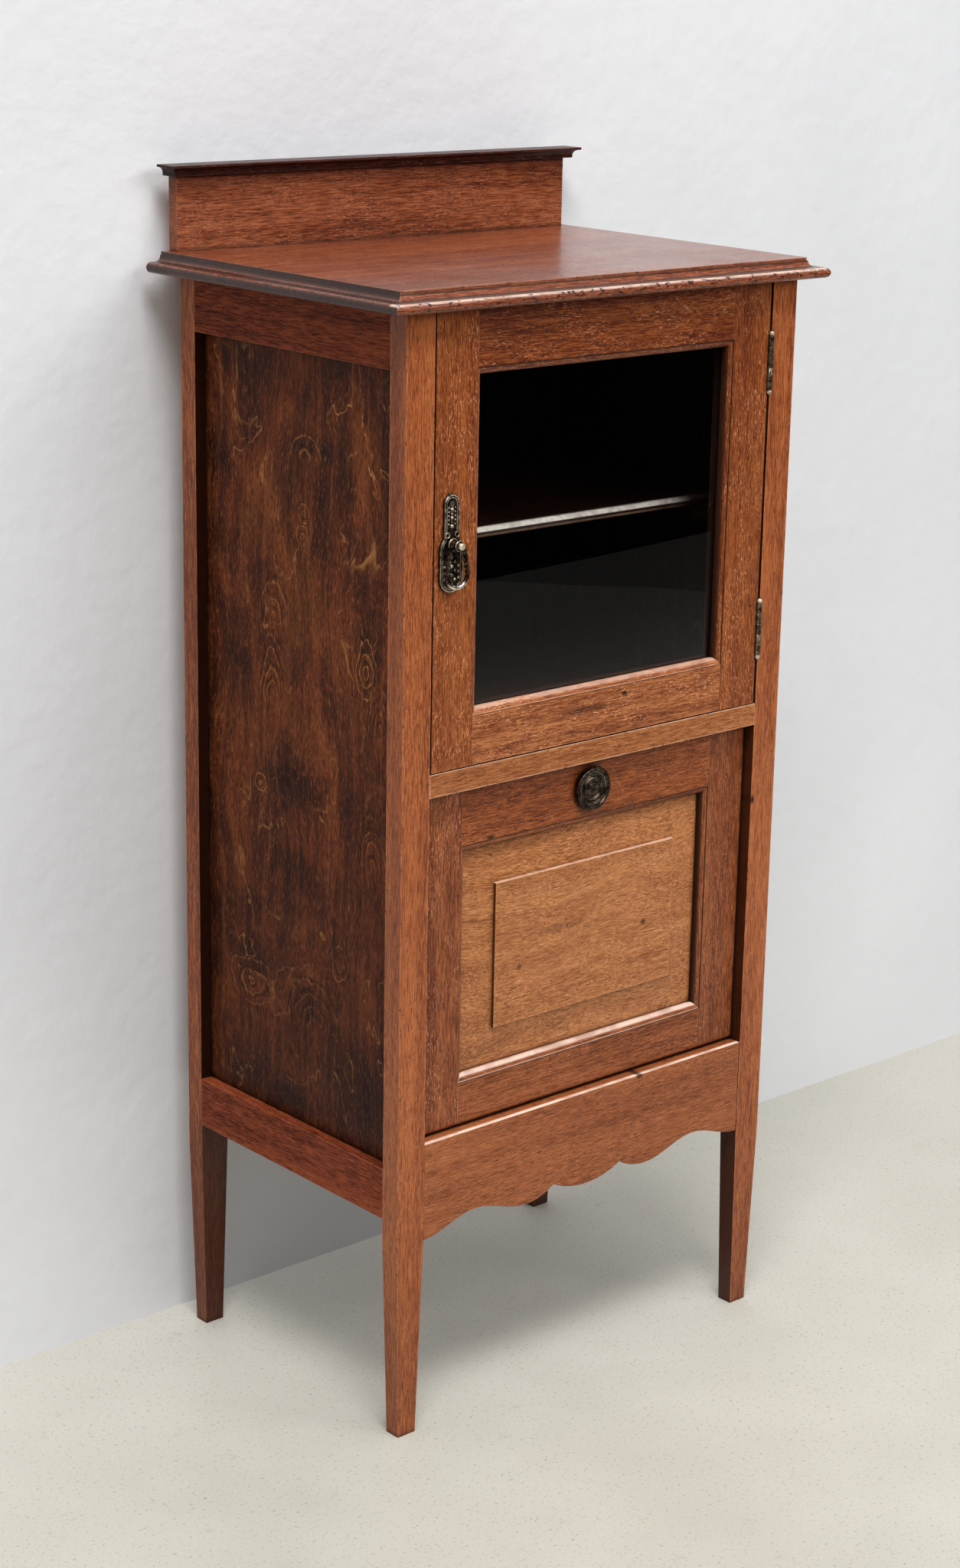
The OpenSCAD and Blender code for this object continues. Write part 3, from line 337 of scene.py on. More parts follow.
def aged_and_shaded_board(name, axis, seed, dark, mid, light, flecks=0.5, figure=0.5, streaks=0.5, wave=0.0,
               left_shade=0.0, left_shade_tone=0.16, up_wear_and_highlight=0.0, front_only=None, inside=False, foot=0.0, rub_and_highlight=0.0,
               seams=(), nicks=None, spots=()):
    """A board with all its stains and worn places, and its painted shade and highlights. Seams are painted
    shadow lines, nicks is the band of heights whose edge is pitted, and spots are dark where their strength
    is below zero and pale above."""
    board = Board(name, axis, seed, dark, mid, light, figure, streaks, wave)
    board.pores_and_flecks(flecks)
    board.wear_and_shade(rub_and_highlight)
    if left_shade:
        board.shade_left(left_shade, left_shade_tone)
    if inside:
        board.shade_inside()
    if up_wear_and_highlight:
        board.wear_and_highlight_up(up_wear_and_highlight, front_only)
    if foot:
        board.darken_foot(foot)
    for seam in seams:
        board.seam(*seam)
    if nicks:
        board.nick(*nicks)
    for spot in spots:
        board.spot(*spot)
    return board


def wood(name, axis, seed, gloss=0.34, shine=0.22, coat=0.08, **look):
    return aged_and_shaded_board(name, axis, seed, **look).varnish(gloss, shine, coat)


# Veneer of the side panels

# Smoky and honey-coloured patches, as (y, z, half width, half height, strength) in millimetres
DARK_PATCHES = [
    (-25, 935, 46, 13, 0.95),
    (118, 905, 26, 24, 0.9),
    (-36, 893, 16, 16, 0.85),
    (-132, 985, 24, 40, 0.9),
    (70, 1000, 60, 14, 0.6),
    (112, 822, 22, 24, 0.85),
    (-100, 770, 20, 34, 0.95),
    (-60, 700, 26, 26, 0.6),
    (15, 612, 50, 20, 0.95),
    (-112, 610, 34, 40, 0.85),
    (100, 690, 30, 60, 0.55),
    (10, 528, 44, 24, 0.85),
    (90, 470, 40, 24, 0.8),
    (-60, 520, 40, 20, 0.6),
    (58, 425, 50, 22, 0.9),
    (-20, 400, 40, 22, 0.6),
    (-95, 340, 60, 40, 0.75),
    (60, 296, 80, 26, 0.8),
    (-60, 260, 80, 22, 0.7),
    (-136, 860, 14, 90, 0.8),
    (-40, 830, 14, 40, 0.5),
    (136, 640, 14, 300, 0.6),
]
PALE_PATCHES = [
    (60, 865, 40, 46, 0.7),
    (0, 790, 50, 60, 0.6),
    (20, 960, 24, 14, 0.5),
    (-92, 945, 24, 30, 0.6),
    (60, 640, 30, 50, 0.5),
    (62, 385, 40, 10, 0.8),
    (60, 598, 10, 7, 1.0),
    (-6, 855, 14, 26, 0.7),
    (-57, 395, 14, 7, 0.9),
    (0, 660, 34, 30, 0.5),
    (10, 470, 50, 16, 0.4),
    (-30, 320, 50, 16, 0.35),
]
# Arches open downwards; knots close on themselves: (y, z, half width, half height, lines, gold share)
ARCHES = [
    (40, 762, 24, 48, 3, 0.45),
    (42, 690, 26, 60, 5, 0.5),
    (-8, 925, 30, 24, 2, 0.5),
    (-118, 690, 24, 60, 5, 0.35),
    (-110, 560, 30, 50, 4, 0.3),
    (-20, 380, 50, 60, 5, 0.25),
]
KNOTS = [
    (-6, 872, 11, 11, 2, 0.5),
    (-4, 850, 11, 12, 2, 0.6),
    (-8, 832, 8, 9, 2, 0.4),
    (62, 600, 12, 14, 2, 0.8),
    (-98, 742, 17, 34, 3, 0.8),
    (-62, 452, 14, 24, 2, 0.5),
    (74, 395, 40, 26, 3, 0.5),
]
# Where the long crooked gold lines run, as patches
THREADS = [
    (-62, 985, 30, 34, 1.0),
    (-104, 950, 34, 56, 1.0),
    (-84, 850, 44, 20, 0.8),
    (-66, 720, 16, 60, 0.7),
    (60, 440, 60, 50, 0.7),
    (100, 990, 26, 60, 0.6),
    (-120, 420, 26, 90, 0.6),
    (80, 610, 30, 50, 0.5),
]
SMOKE = tone("150804")
HONEY = tone("a0602f")
INK = tone("140704")
GILT = tone("c98448")
GOLD = tone("c78a50")
# The burr's noises, as (scale, detail, roughness, warp), and how far its fine grain is drawn out
CLOUDS = (14.0, 7.0, 0.66, 0.5)
RAGGED_EDGE = (36.0, 6.0, 0.7, 0.0)
CROOKED = (26.0, 4.0, 0.6, 0.0)
THREAD_LINES = (12.0, 4.0, 0.55, 0.6)
THREAD_PATCHES = (17.0, 3.0, 0.5, 0.0)
BURR_RIBBON, RIBBON_STRETCH = (150.0, 4.0, 0.65, 0.0), (1, 1, 0.06)
BURR_FIBRE, FIBRE_STRETCH = (620.0, 4.0, 0.75, 0.0), (1, 1, 0.2)
# How the figure is drawn out upwards, how it drifts, and how far the seed moves it
BURR_DRAW, BURR_SHIFT = 0.6, (1.0, 0.6, 0.3)
DRIFT_NOISE, DRIFT_DEPTH = {"Scale": 9.0, "Detail": 4.0}, (0.08, 0.08, 0.08)
# Depth of the burr's grain, in metres, and the roughness of its varnish
BURR_DEPTH, BURR_VARNISH_ROUGH = 0.00025, 0.2
# The tones of the burr's cloud, dark to pale
BURR_TONES = ((0.34, tone("35170d")), (0.46, tone("522715")), (0.56, tone("6c351d")), (0.7, tone("844928")))


class Burr(Shade):
    """Dark burr veneer on an upright panel. Each method lays one more thing over self.colour."""

    def __init__(self, name, seed):
        super().__init__(name)
        self.panel = self.join(0.0, self.xyz[1], self.xyz[2])
        flat = self.join(0.0, self.xyz[1], self.times(self.xyz[2], BURR_DRAW))
        drift = self.node("ShaderNodeTexNoise", {"Vector": flat, **DRIFT_NOISE})
        self.drift = self.vector("SUBTRACT", drift.outputs["Color"], (0.5, 0.5, 0.5))
        curved = self.vector("ADD", flat, self.vector("MULTIPLY", self.drift, DRIFT_DEPTH))
        self.curved = self.vector("ADD", curved, tuple(seed * part for part in BURR_SHIFT))
        self.cloud = self.noise(self.curved, *CLOUDS)
        self.colour = self.ramp(self.cloud, *BURR_TONES)
        self.rough_edge = self.minus(self.noise(self.curved, *RAGGED_EDGE), 0.5)
        self.ragged = self.times(self.rough_edge, 2.6)
        self.crook = self.around(self.noise(self.here, *CROOKED), 1.5)

    def reach(self, y, z, half_y, half_z):
        off = self.vector("SUBTRACT", self.panel, (0, y * MM, z * MM))
        off = self.vector("MULTIPLY", off, (0, 1 / (half_y * MM), 1 / (half_z * MM)))
        return self.vector("LENGTH", off)

    def patch(self, y, z, half_y, half_z, strength):
        away = self.plus(self.reach(y, z, half_y, half_z), self.ragged)
        return self.steps(away, 1.25, 0.35, 0.0, strength)

    def stripe(self, value, low, mid, high):
        return self.times(self.steps(value, low, mid), self.steps(value, high, mid))

    def stain(self, share, depth, colour):
        """Draws the colour there is part of the way to another."""
        self.over(share, self.mix(depth, self.colour, colour))

    def rings(self, spot, arched):
        """Dark and gilt lines round a middle: whole ones, or arches open below."""
        y, z, half_y, half_z, count, gold = spot
        away = self.plus(self.reach(y, z, half_y, half_z), self.times(self.crook, 0.35 if arched else 0.8))
        near = self.times(self.steps(away, 1.0, 0.8), self.steps(self.rough_edge, -0.1, 0.05, 0.25, 1.0))
        if arched:
            low, high = (z - 0.3 * half_z) * MM, (z + 0.2 * half_z) * MM
            near = self.times(near, self.steps(self.xyz[2], low, high))
        wave = self.math("FRACT", self.times(away, count))
        self.over(self.times(self.times(self.stripe(wave, 0.66, 0.84, 1.0), near), 0.9), INK)
        gilt = min(1.0, 1.3 * gold)
        self.over(self.times(self.times(self.stripe(wave, 0.4, 0.52, 0.64), near), gilt), GILT)

    def figure(self):
        for spot in PALE_PATCHES:
            self.stain(self.times(self.patch(*spot), 0.45), 0.6, HONEY)
        for spot in DARK_PATCHES:
            self.stain(self.times(self.patch(*spot), 0.8), 0.8, SMOKE)
        for spot in ARCHES:
            self.rings(spot, True)
        for spot in KNOTS:
            self.rings(spot, False)

    def pores(self):
        way = self.vector("ADD", self.here, self.vector("MULTIPLY", self.drift, (0, 0.05, 0.05)))
        self.ribbon = self.noise(self.vector("MULTIPLY", way, RIBBON_STRETCH), *BURR_RIBBON)
        self.over(self.steps(self.ribbon, 0.36, 0.52, 0.5, 0.0), tone("1c0b06"))
        self.over(self.steps(self.ribbon, 0.52, 0.68, 0.0, 0.26), tone("985a36"))
        self.fibre = self.noise(self.vector("MULTIPLY", way, FIBRE_STRETCH), *BURR_FIBRE)
        self.over(self.steps(self.fibre, 0.34, 0.54, 0.72, 0.0), tone("170804"))
        self.over(self.steps(self.fibre, 0.54, 0.66, 0.0, 0.42), tone("b06c3e"))

    def gold_threads(self):
        thread = self.math("FRACT", self.times(self.noise(self.curved, *THREAD_LINES), 7.0))
        thread = self.stripe(thread, 0.44, 0.5, 0.56)
        thread = self.times(thread, self.steps(self.rough_edge, -0.1, 0.0, 0.2, 1.0))
        run = self.times(self.steps(self.noise(self.curved, *THREAD_PATCHES), 0.52, 0.6), 0.5)
        for spot in THREADS:
            run = self.math("MAXIMUM", run, self.patch(*spot))
        self.over(self.times(self.times(thread, run), 0.9), GOLD)

    def darken_and_shade(self, inward):
        """Darker towards the foot, with painted shade in the corners and on the back, which looks into the
        case and is nearly black.
        """
        self.stain(self.steps(self.xyz[2], 0.66, 0.34, 0.0, 0.6), 0.6, tone("1e0d08"))
        self.over(self.times(self.edges()[1], 0.95), tone("050201"))
        inner = self.times(self.facing()[0], inward)
        self.over(self.steps(inner, 0.4, 0.8, 0.0, 0.93), tone("120704"))

    def varnish(self):
        rough = self.plus(0.42, self.around(self.cloud, 0.3))
        height = self.plus(self.times(self.fibre, 0.5), self.times(self.ribbon, 0.8))
        shader = self.surface(Base_Color=self.colour, Roughness=rough, Normal=self.bump(height, BURR_DEPTH))
        shader.inputs["Specular IOR Level"].default_value = 0.07
        shader.inputs["Coat Weight"].default_value = 0.015
        shader.inputs["Coat Roughness"].default_value = BURR_VARNISH_ROUGH
        return self.material


def veneer(name, seed, inward):
    """The veneer of one side panel. inward is the way along X that the panel's back looks, 1 or -1."""
    burr = Burr(name, seed)
    burr.figure()
    burr.pores()
    burr.gold_threads()
    burr.darken_and_shade(inward)
    return burr.varnish()


# Metal and glass

# Noises, as (scale, detail, roughness)
METAL_CLOUD = (160.0, 4.0, 0.6)
METAL_GRIT = (900.0, 3.0, 0.7)
HANDLED_GLINT_PATCHES = (420.0, 2.0, 0.5)
PANE_WAVE = (6.0, 0.0, 0.5)
# In metres: how far from an edge metal is rubbed, and the depths of its pits and of the pane's wave
METAL_EDGE, PIT_DEPTH, WAVE_DEPTH = 0.0006, 0.00006, 0.0003
GLASS_TINT, SHADOW_TINT, GLASS_IOR = (0.9, 0.9, 0.88, 1), (0.84, 0.84, 0.82, 1), 1.45


def metal(name, base, bright, dull, rough=0.34, metallic=0.9, handled_glint=None):
    """Old brass or bronze: dull in its hollows, rubbed bright on its outer edges, finely pitted.
    handled_glint is the band of heights kept bright: rubbed by fingers, and a painted highlight."""
    base, bright, dull = tone(base), tone(bright), tone(dull)
    s = Shade(name)
    cloud = s.noise(s.here, *METAL_CLOUD)
    grit = s.noise(s.here, *METAL_GRIT)
    s.colour = s.mix(s.steps(cloud, 0.38, 0.62), base, dull)
    worn, dirt_and_shade = s.edges(METAL_EDGE)
    s.over(s.times(worn, s.steps(grit, 0.3, 0.6, 0.4, 1.0)), bright)
    s.over(s.times(dirt_and_shade, 0.7), shaded(dull, 0.3))
    if handled_glint:
        band = s.steps(s.xyz[2], handled_glint[1] * MM, handled_glint[0] * MM)
        s.over(s.times(band, s.steps(s.noise(s.here, *HANDLED_GLINT_PATCHES), 0.36, 0.55, 0.25, 0.9)), bright)
    uneven = s.minus(s.plus(rough, s.around(grit, 0.35)), s.times(worn, 0.1), clamp=True)
    normal = s.bump(s.plus(grit, s.times(cloud, 2.0)), PIT_DEPTH)
    shader = s.surface(Base_Color=s.colour, Roughness=uneven, Normal=normal)
    shader.inputs["Metallic"].default_value = metallic
    return s.material


def pane(name):
    """Old clear glass with a slight wave in it. Lamps shine through it onto the shelf."""
    s = Shade(name)
    shader = s.surface(Normal=s.bump(s.noise(s.here, *PANE_WAVE), WAVE_DEPTH, strength=0.2))
    shader.inputs["Base Color"].default_value = GLASS_TINT
    shader.inputs["Roughness"].default_value = 0.0
    shader.inputs["Transmission Weight"].default_value = 1.0
    shader.inputs["IOR"].default_value = GLASS_IOR
    s.let_through(s.node("ShaderNodeLightPath").outputs["Is Shadow Ray"], shader, SHADOW_TINT)
    return s.material


# Modifiers for the carried-over solids

WELD_REACH = 0.00001
FLAT_DEG, ARRIS_DEG = 0.4, 28


def smoothing_group():
    group = bpy.data.node_groups.new("smooth_faces", "GeometryNodeTree")
    for way in ("INPUT", "OUTPUT"):
        group.interface.new_socket("Geometry", in_out=way, socket_type="NodeSocketGeometry")
    start = group.nodes.new("NodeGroupInput")
    smooth = group.nodes.new("GeometryNodeSetShadeSmooth")
    end = group.nodes.new("NodeGroupOutput")
    group.links.new(start.outputs[0], smooth.inputs[0])
    group.links.new(smooth.outputs[0], end.inputs[0])
    return group


SMOOTH = smoothing_group()


def soften(obj, width):
    """Small rounded arrises and even shading, by modifiers alone."""
    weld = obj.modifiers.new("weld", "WELD")
    weld.merge_threshold = WELD_REACH
    merge = obj.modifiers.new("merge", "DECIMATE")
    merge.decimate_type = "DISSOLVE"
    merge.angle_limit = math.radians(FLAT_DEG)
    if width:
        bevel = obj.modifiers.new("bevel", "BEVEL")
        bevel.width = width
        bevel.segments = 2
        bevel.limit_method = "ANGLE"
        bevel.angle_limit = math.radians(ARRIS_DEG)
    faces = obj.modifiers.new("faces", "NODES")
    faces.node_group = SMOOTH
    normals = obj.modifiers.new("normals", "WEIGHTED_NORMAL")
    normals.keep_sharp = True


def dress(obj, width, material):
    soften(obj, width)
    obj.data.materials.clear()
    obj.data.materials.append(material)


# Woods by node: grain axis, tones and finish


def tones(dark, mid, light):
    return {"dark": tone(dark), "mid": tone(mid), "light": tone(light)}


POST = dict(tones("6a3016", "96502a", "b4693a"), flecks=0.3, foot=0.2)
DOOR = dict(tones("58230d", "80401d", "a8622f"), flecks=0.95, gloss=0.36, left_shade=0.92, up_wear_and_highlight=0.32)
FALL = dict(tones("582410", "82441f", "a4603a"), gloss=0.36, left_shade=0.95, up_wear_and_highlight=0.8)
PALE = dict(tones("7e4824", "a8683c", "c68754"), flecks=0.45)
APRON = dict(tones("6c3418", "91502a", "b0693f"), flecks=0.35, gloss=0.32, up_wear_and_highlight=0.95, front_only=-162)
SIDE = dict(tones("40170b", "7e3a21", "9a5030"), flecks=0.2, gloss=0.42, shine=0.05, coat=0.02)
TOP = dict(tones("4c1e0f", "78391f", "9a5634"), gloss=0.22, shine=0.35)
BACK = dict(tones("22110a", "452817", "634029"), flecks=0.2, gloss=0.6, shine=0.1, inside=True)
# Near-black tones for the pieces inside the case: painted shade.
SHELF = dict(tones("120603", "220d06", "341709"), flecks=0.1)
INNER = dict(SHELF, gloss=0.6, shine=0.1)
PANEL = dict(PALE, wave=0.035, figure=0.2, streaks=0.45, flecks=0.5, left_shade=0.85, up_wear_and_highlight=0.5)
# The cap's cove looks down; its darker tones are painted shade.
CAP_IN_SHADE = dict(tones("200804", "35120a", "552818"), gloss=0.4, shine=0.12, left_shade=0.5)
# The top board's left end in painted shade, its up-facing front edge with a painted highlight, and rubbed
# arrises.
TOP_WEAR_AND_LIGHT = dict(left_shade=0.9, left_shade_tone=0.25, up_wear_and_highlight=0.6, rub_and_highlight=0.35, front_only=-173)

# Shadow lines where one piece of wood meets the next, as (axis, place, half width, strength) in millimetres
AT_X, AT_Z = 0, 2
DOOR_LEFT_SEAMS = ((AT_X, -209.4, 1.5, 0.9), (AT_X, -161.2, 0.9, 0.5))
DOOR_RIGHT_SEAMS = ((AT_X, 159.5, 0.9, 0.5), (AT_X, 207.6, 1.0, 0.8))
DOOR_TOP_SEAMS = ((AT_Z, 1019.4, 1.1, 0.9),)
DOOR_FOOT_SEAMS = ((AT_Z, 703.6, 0.8, 0.7),)
FALL_LEFT_SEAMS = ((AT_X, -161.2, 0.8, 0.4),)
FALL_RIGHT_SEAMS = ((AT_X, 161.2, 0.9, 0.5), (AT_X, 209, 1.4, 0.8))
FALL_TOP_SEAMS = ((AT_Z, 576.2, 0.9, 0.85),)
FALL_FOOT_SEAMS = ((AT_Z, 341.9, 0.8, 0.75),)
TOP_SEAMS = ((AT_Z, 1088.6, 0.9, 0.8), (AT_Z, 1083.4, 0.9, 0.85))
TOP_NICKS = (1073, 1083)

# A node takes the longest of these names that it starts with
WOODS = {
    "post_": ("Z", POST),
    "post_front_right": ("Z", dict(POST, left_shade=0.9)),
    # The back posts' darker tones are painted shade.
    "post_back": ("Z", dict(POST, dark=tone("5c2812"), mid=tone("7c3c1e"), inside=True)),
    "side_top_rail": ("Y", SIDE),
    "side_bottom_rail": ("Y", SIDE),
    "back_": ("X", BACK),
    "front_top_rail": ("X", INNER),
    "middle_rail": ("X", dict(PALE, **tones("703a18", "9a5a30", "bb7a48"), up_wear_and_highlight=0.8, rub_and_highlight=0.8)),
    "middle_board": ("X", INNER),
    "middle_bearer": ("Y", INNER),
    "floor_": ("X", INNER),
    "shelf_bearer": ("Y", INNER),
    "apron": ("X", APRON),
    "top_board": ("X", dict(TOP, **TOP_WEAR_AND_LIGHT, seams=TOP_SEAMS, nicks=TOP_NICKS)),
    "upstand_board": ("X", dict(TOP, mid=tone("7e4022"), light=tone("a26040"), gloss=0.36, shine=0.22)),
    "upstand_cap": ("X", CAP_IN_SHADE),
    "door_stile_left": ("Z", dict(DOOR, seams=DOOR_LEFT_SEAMS)),
    "door_stile_right": ("Z", dict(DOOR, seams=DOOR_RIGHT_SEAMS)),
    # The top rail's darker tones are painted shade under the top's overhang.
    "door_rail_top": ("X", dict(DOOR, **tones("48190a", "6c3013", "975325"), seams=DOOR_TOP_SEAMS)),
    "door_rail_bottom": ("X", dict(DOOR, mid=tone("8c4c28"), light=tone("b87444"), seams=DOOR_FOOT_SEAMS)),
    "door_stop": ("X", INNER),
    "glazing_beads_upright": ("Z", INNER),
    "glazing_beads_level": ("X", INNER),
    "fall_stile_left": ("Z", dict(FALL, flecks=0.75, seams=FALL_LEFT_SEAMS)),
    "fall_stile_right": ("Z", dict(FALL, mid=tone("763c1b"), seams=FALL_RIGHT_SEAMS)),
    "fall_rail_top": ("X", dict(FALL, mid=tone("8a461d"), light=tone("ac6438"), seams=FALL_TOP_SEAMS)),
    "fall_rail_bottom": ("X", dict(FALL, mid=tone("884820"), rub_and_highlight=0.4, seams=FALL_FOOT_SEAMS)),
    "fall_panel": ("X", PANEL),
    "fall_stop": ("X", INNER),
}
# Knots and marks, as (x, z, half width, half height, strength) in millimetres
SPOTS = {
    "door_rail_bottom": [(-20, 687, 46, 5, -0.5), (30, 695, 5, 3, -0.95)],
    "fall_panel": [(78, 452, 5, 4, -0.8), (-85, 441, 4, 4, -0.6), (-30, 470, 50, 5, -0.3)],
    "fall_rail_top": [(-125, 578, 7, 3, -0.8)],
    "apron": [(68, 295, 7, 4, -0.9)],
    "post_front_right": [(213, 556, 4, 8, -1.0)],
    "door_stile_right": [(197, 757, 2, 2, -0.95)],
}

# Widths of the rounded arrises, in metres
WOOD_ARRIS = 0.0004
BRONZE_ARRIS = 0.00025
BRASS_ARRIS = 0.0002
SCREW_ARRIS = 0.00015
WIDE_ARRIS = {
    "top_board": 0.0007,
    "apron": 0.0012,
    "middle_rail": 0.0009,
    "upstand_cap": 0.0006,
    "shelf": 0.0012,
}
# Where in the noise each piece's figure is cut from
FIRST_SEED, NEXT_SEED, SHELF_SEED = 1.0, 1.3, 31.0
LEFT_BURR_SEED, RIGHT_BURR_SEED = 0.0, 3.7
# The painted highlight on the front edge of the shelf, in metres: its depth, the groove along it left dark,
# the soft step to its lower half in painted shade, and where in X its right end fades into painted shadow.
# The last is the noise that breaks it up.
HIGHLIGHT_FROM, HIGHLIGHT_TO = 0.0045, 0.002
GROOVE_DOWN, GROOVE_HALF, GROOVE_EDGE = 0.0062, 0.0009, 0.0018
HALF_STEP, FADED_X, FULL_X = 0.0004, 0.198, 0.165
HIGHLIGHT_BREAKS = (70.0, 4.0, 0.7)


def shelf_wood():
    """Dark board whose rounded front edge carries a painted highlight: a pale line with a fine dark groove
    along it.
    """
    s = aged_and_shaded_board("wood_shelf", "X", SHELF_SEED, **SHELF)
    low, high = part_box("shelf")
    front = s.steps(s.xyz[1], low.y + HIGHLIGHT_FROM, low.y + HIGHLIGHT_TO)
    middle = high.z - GROOVE_DOWN
    off = s.math("ABSOLUTE", s.minus(s.xyz[2], middle))
    groove = s.steps(off, GROOVE_HALF, GROOVE_EDGE)
    # The line fades into painted shadow at its right end, and its lower half is darker, in painted shade.
    right = s.steps(s.xyz[0], FADED_X, FULL_X, 0.03, 0.95)
    lower = s.steps(s.xyz[2], middle + HALF_STEP, middle - HALF_STEP)
    line = s.mix(lower, tone("f0e8e2"), tone("9c7c66"))
    uneven = s.steps(s.noise(s.here, *HIGHLIGHT_BREAKS), 0.35, 0.6, 0.55, 1.0)
    s.over(s.times(s.times(front, groove), s.times(right, uneven)), line)
    return s.varnish(0.3, 0.4, 0.08)


bronze = metal("dark_bronze_aged", "57483a", "efe4d2", "1c1713", rough=0.28)
black_bronze = metal("dark_bronze_black", "4c433a", "f2eadc", "0f0c0a", rough=0.16, handled_glint=(829, 834))
# The button and the hinges' ball finials: pale, shiny metal, partly a painted highlight.
polished_and_glint = metal("dark_bronze_polished", "e9ddca", "fffaf0", "a8977e", rough=0.25, metallic=0.4)
rubbed = metal("dark_bronze_rubbed", "cbbba4", "fff8ec", "64543f", rough=0.28, metallic=0.65)
brass = metal("brass_aged", "94846b", "fffaf2", "41352a", rough=0.24, metallic=0.85)
steel = metal("screw_metal", "8a7f6c", "cfc7b6", "4f4538", rough=0.38)
glass = pane("old_glass")
BRONZE = ("handle_backplate", "handle_spindle", "handle_ring", "pull_rosette", "pull_ring")
BRASS = ("hinge_case_leaves", "hinge_door_leaves", "catch_barrel", "catch_plunger", "catch_plate")

for count, (name, obj) in enumerate(sorted(nodes.items())):
    families = [key for key in WOODS if name.startswith(key)]
    if name == "door_glass":
        dress(obj, 0, glass)
    elif name == "side_panel_left":
        dress(obj, WOOD_ARRIS, veneer("burr_" + name, LEFT_BURR_SEED, 1))
    elif name == "side_panel_right":
        dress(obj, WOOD_ARRIS, veneer("burr_" + name, RIGHT_BURR_SEED, -1))
    elif name in BRONZE:
        dress(obj, BRONZE_ARRIS, bronze)
    elif name == "hinge_pins":
        dress(obj, BRASS_ARRIS, polished_and_glint)
    elif name in BRASS:
        dress(obj, BRASS_ARRIS, brass)
    elif name == "shelf":
        dress(obj, WIDE_ARRIS[name], shelf_wood())
    elif families:
        axis, look = WOODS[max(families, key=len)]
        seed = FIRST_SEED + NEXT_SEED * count
        board = wood("wood_" + name, axis, seed, spots=SPOTS.get(name, ()), **look)
        dress(obj, WIDE_ARRIS.get(name, WOOD_ARRIS), board)
    else:
        dress(obj, SCREW_ARRIS, steel)


# Metal detail, in mesh code

# Points nearer to each other than this, in metres, become one
JOIN_REACH = 0.000002


def revolve(mesh, centre, profile, turns):
    """Adds a closed turned form to a bmesh. Its axis runs along Y, and profile is [(rise, radius)] from its
    foot out to its tip, in millimetres, and starts and ends on the axis."""
    rings = []
    for rise, radius in profile:
        y = centre[1] - rise * MM
        if radius == 0:
            rings.append([mesh.verts.new((centre[0], y, centre[2]))])
            continue
        ring = []
        for i in range(turns):
            a = 2 * math.pi * i / turns
            x = centre[0] + radius * MM * math.cos(a)
            z = centre[2] + radius * MM * math.sin(a)
            ring.append(mesh.verts.new((x, y, z)))
        rings.append(ring)
    for lower, upper in zip(rings, rings[1:]):
        for i in range(turns):
            j = (i + 1) % turns
            corner = [lower[i % len(lower)], lower[j % len(lower)]]
            corner += [upper[j % len(upper)], upper[i % len(upper)]]
            corner = list(dict.fromkeys(corner))
            if len(corner) > 2:
                mesh.faces.new(corner)


def loop_tube(mesh, points, radius, sides=12):
    """Adds a closed tube along a flat closed path in an XZ plane. radius(share, angle) is in metres."""
    count = len(points)
    forth = Vector((0, 1, 0))
    rings = []
    for i, point in enumerate(points):
        along = (points[(i + 1) % count] - points[i - 1]).normalized()
        out = along.cross(forth).normalized()
        ring = []
        for k in range(sides):
            a = 2 * math.pi * k / sides
            r = radius(i / count, a)
            ring.append(mesh.verts.new(point + out * (r * math.cos(a)) + forth * (r * math.sin(a))))
        rings.append(ring)
    for i in range(count):
        one, two = rings[i], rings[(i + 1) % count]
        for k in range(sides):
            n = (k + 1) % sides
            mesh.faces.new((one[k], one[n], two[n], two[k]))


def even_path(corners, step):
    """Points about every step along the straight runs of a closed path of (x, z)."""
    path = []
    for a, b in zip(corners, corners[1:] + corners[:1]):
        parts = max(1, round(math.dist(a, b) / step))
        path += [(a[0] + (b[0] - a[0]) * t / parts, a[1] + (b[1] - a[1]) * t / parts) for t in range(parts)]
    return path


def arc(centre, radius, start, end, parts=14):
    spread = [math.radians(start + (end - start) * i / parts) for i in range(parts + 1)]
    return [(centre[0] + radius * math.cos(a), centre[1] + radius * math.sin(a)) for a in spread]


def finish_mesh(name, mesh, material, body, replaced=()):
    """Makes a metal piece of a bmesh, and ties it to its body."""
    bmesh.ops.remove_doubles(mesh, verts=mesh.verts, dist=JOIN_REACH)
    bmesh.ops.recalc_face_normals(mesh, faces=mesh.faces)
    data = bpy.data.meshes.new(name)
    mesh.to_mesh(data)
    mesh.free()
    data.materials.append(material)
    for face in data.polygons:
        face.use_smooth = True
    obj = link_object(name, data)
    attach(obj, body)
    if replaced:
        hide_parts(*replaced)


# The handle, in millimetres: its axis, the face of its backplate and the plane of its ring
HANDLE_X, HANDLE_Z, PLATE_Y, DROP_Y = -190.3, 866.0, -167.0, -175.0
# The backplate's outline: the radii of its broad foot and narrow head, and the heights of their middles
FOOT_R, HEAD_R = 13.5, 9.0
FOOT_LOW, FOOT_HIGH, HEAD_Z = -30.5, -5, 36
# The relief: how far the rim and the bead lie inside the outline, their radii, the distance between their
# points, the bead's count and swell, and how deep they are sunk
RIM_IN, RIM_R, RIM_STEP = 1.1, 0.62, 0.8
BEAD_IN, BEAD_R, BEAD_STEP, BEADS, BEAD_SWELL = 3.1, 0.36, 0.35, 90, 0.22
SUNK, EYELET_SUNK = 0.02, 0.75
EYELET_X, EYELET_Z, EYELET_R = 5.5, 8.5, 2.35
SIDE_BOSS_X, SIDE_BOSS_ZS = 8.2, (-20, -25.5, -31)
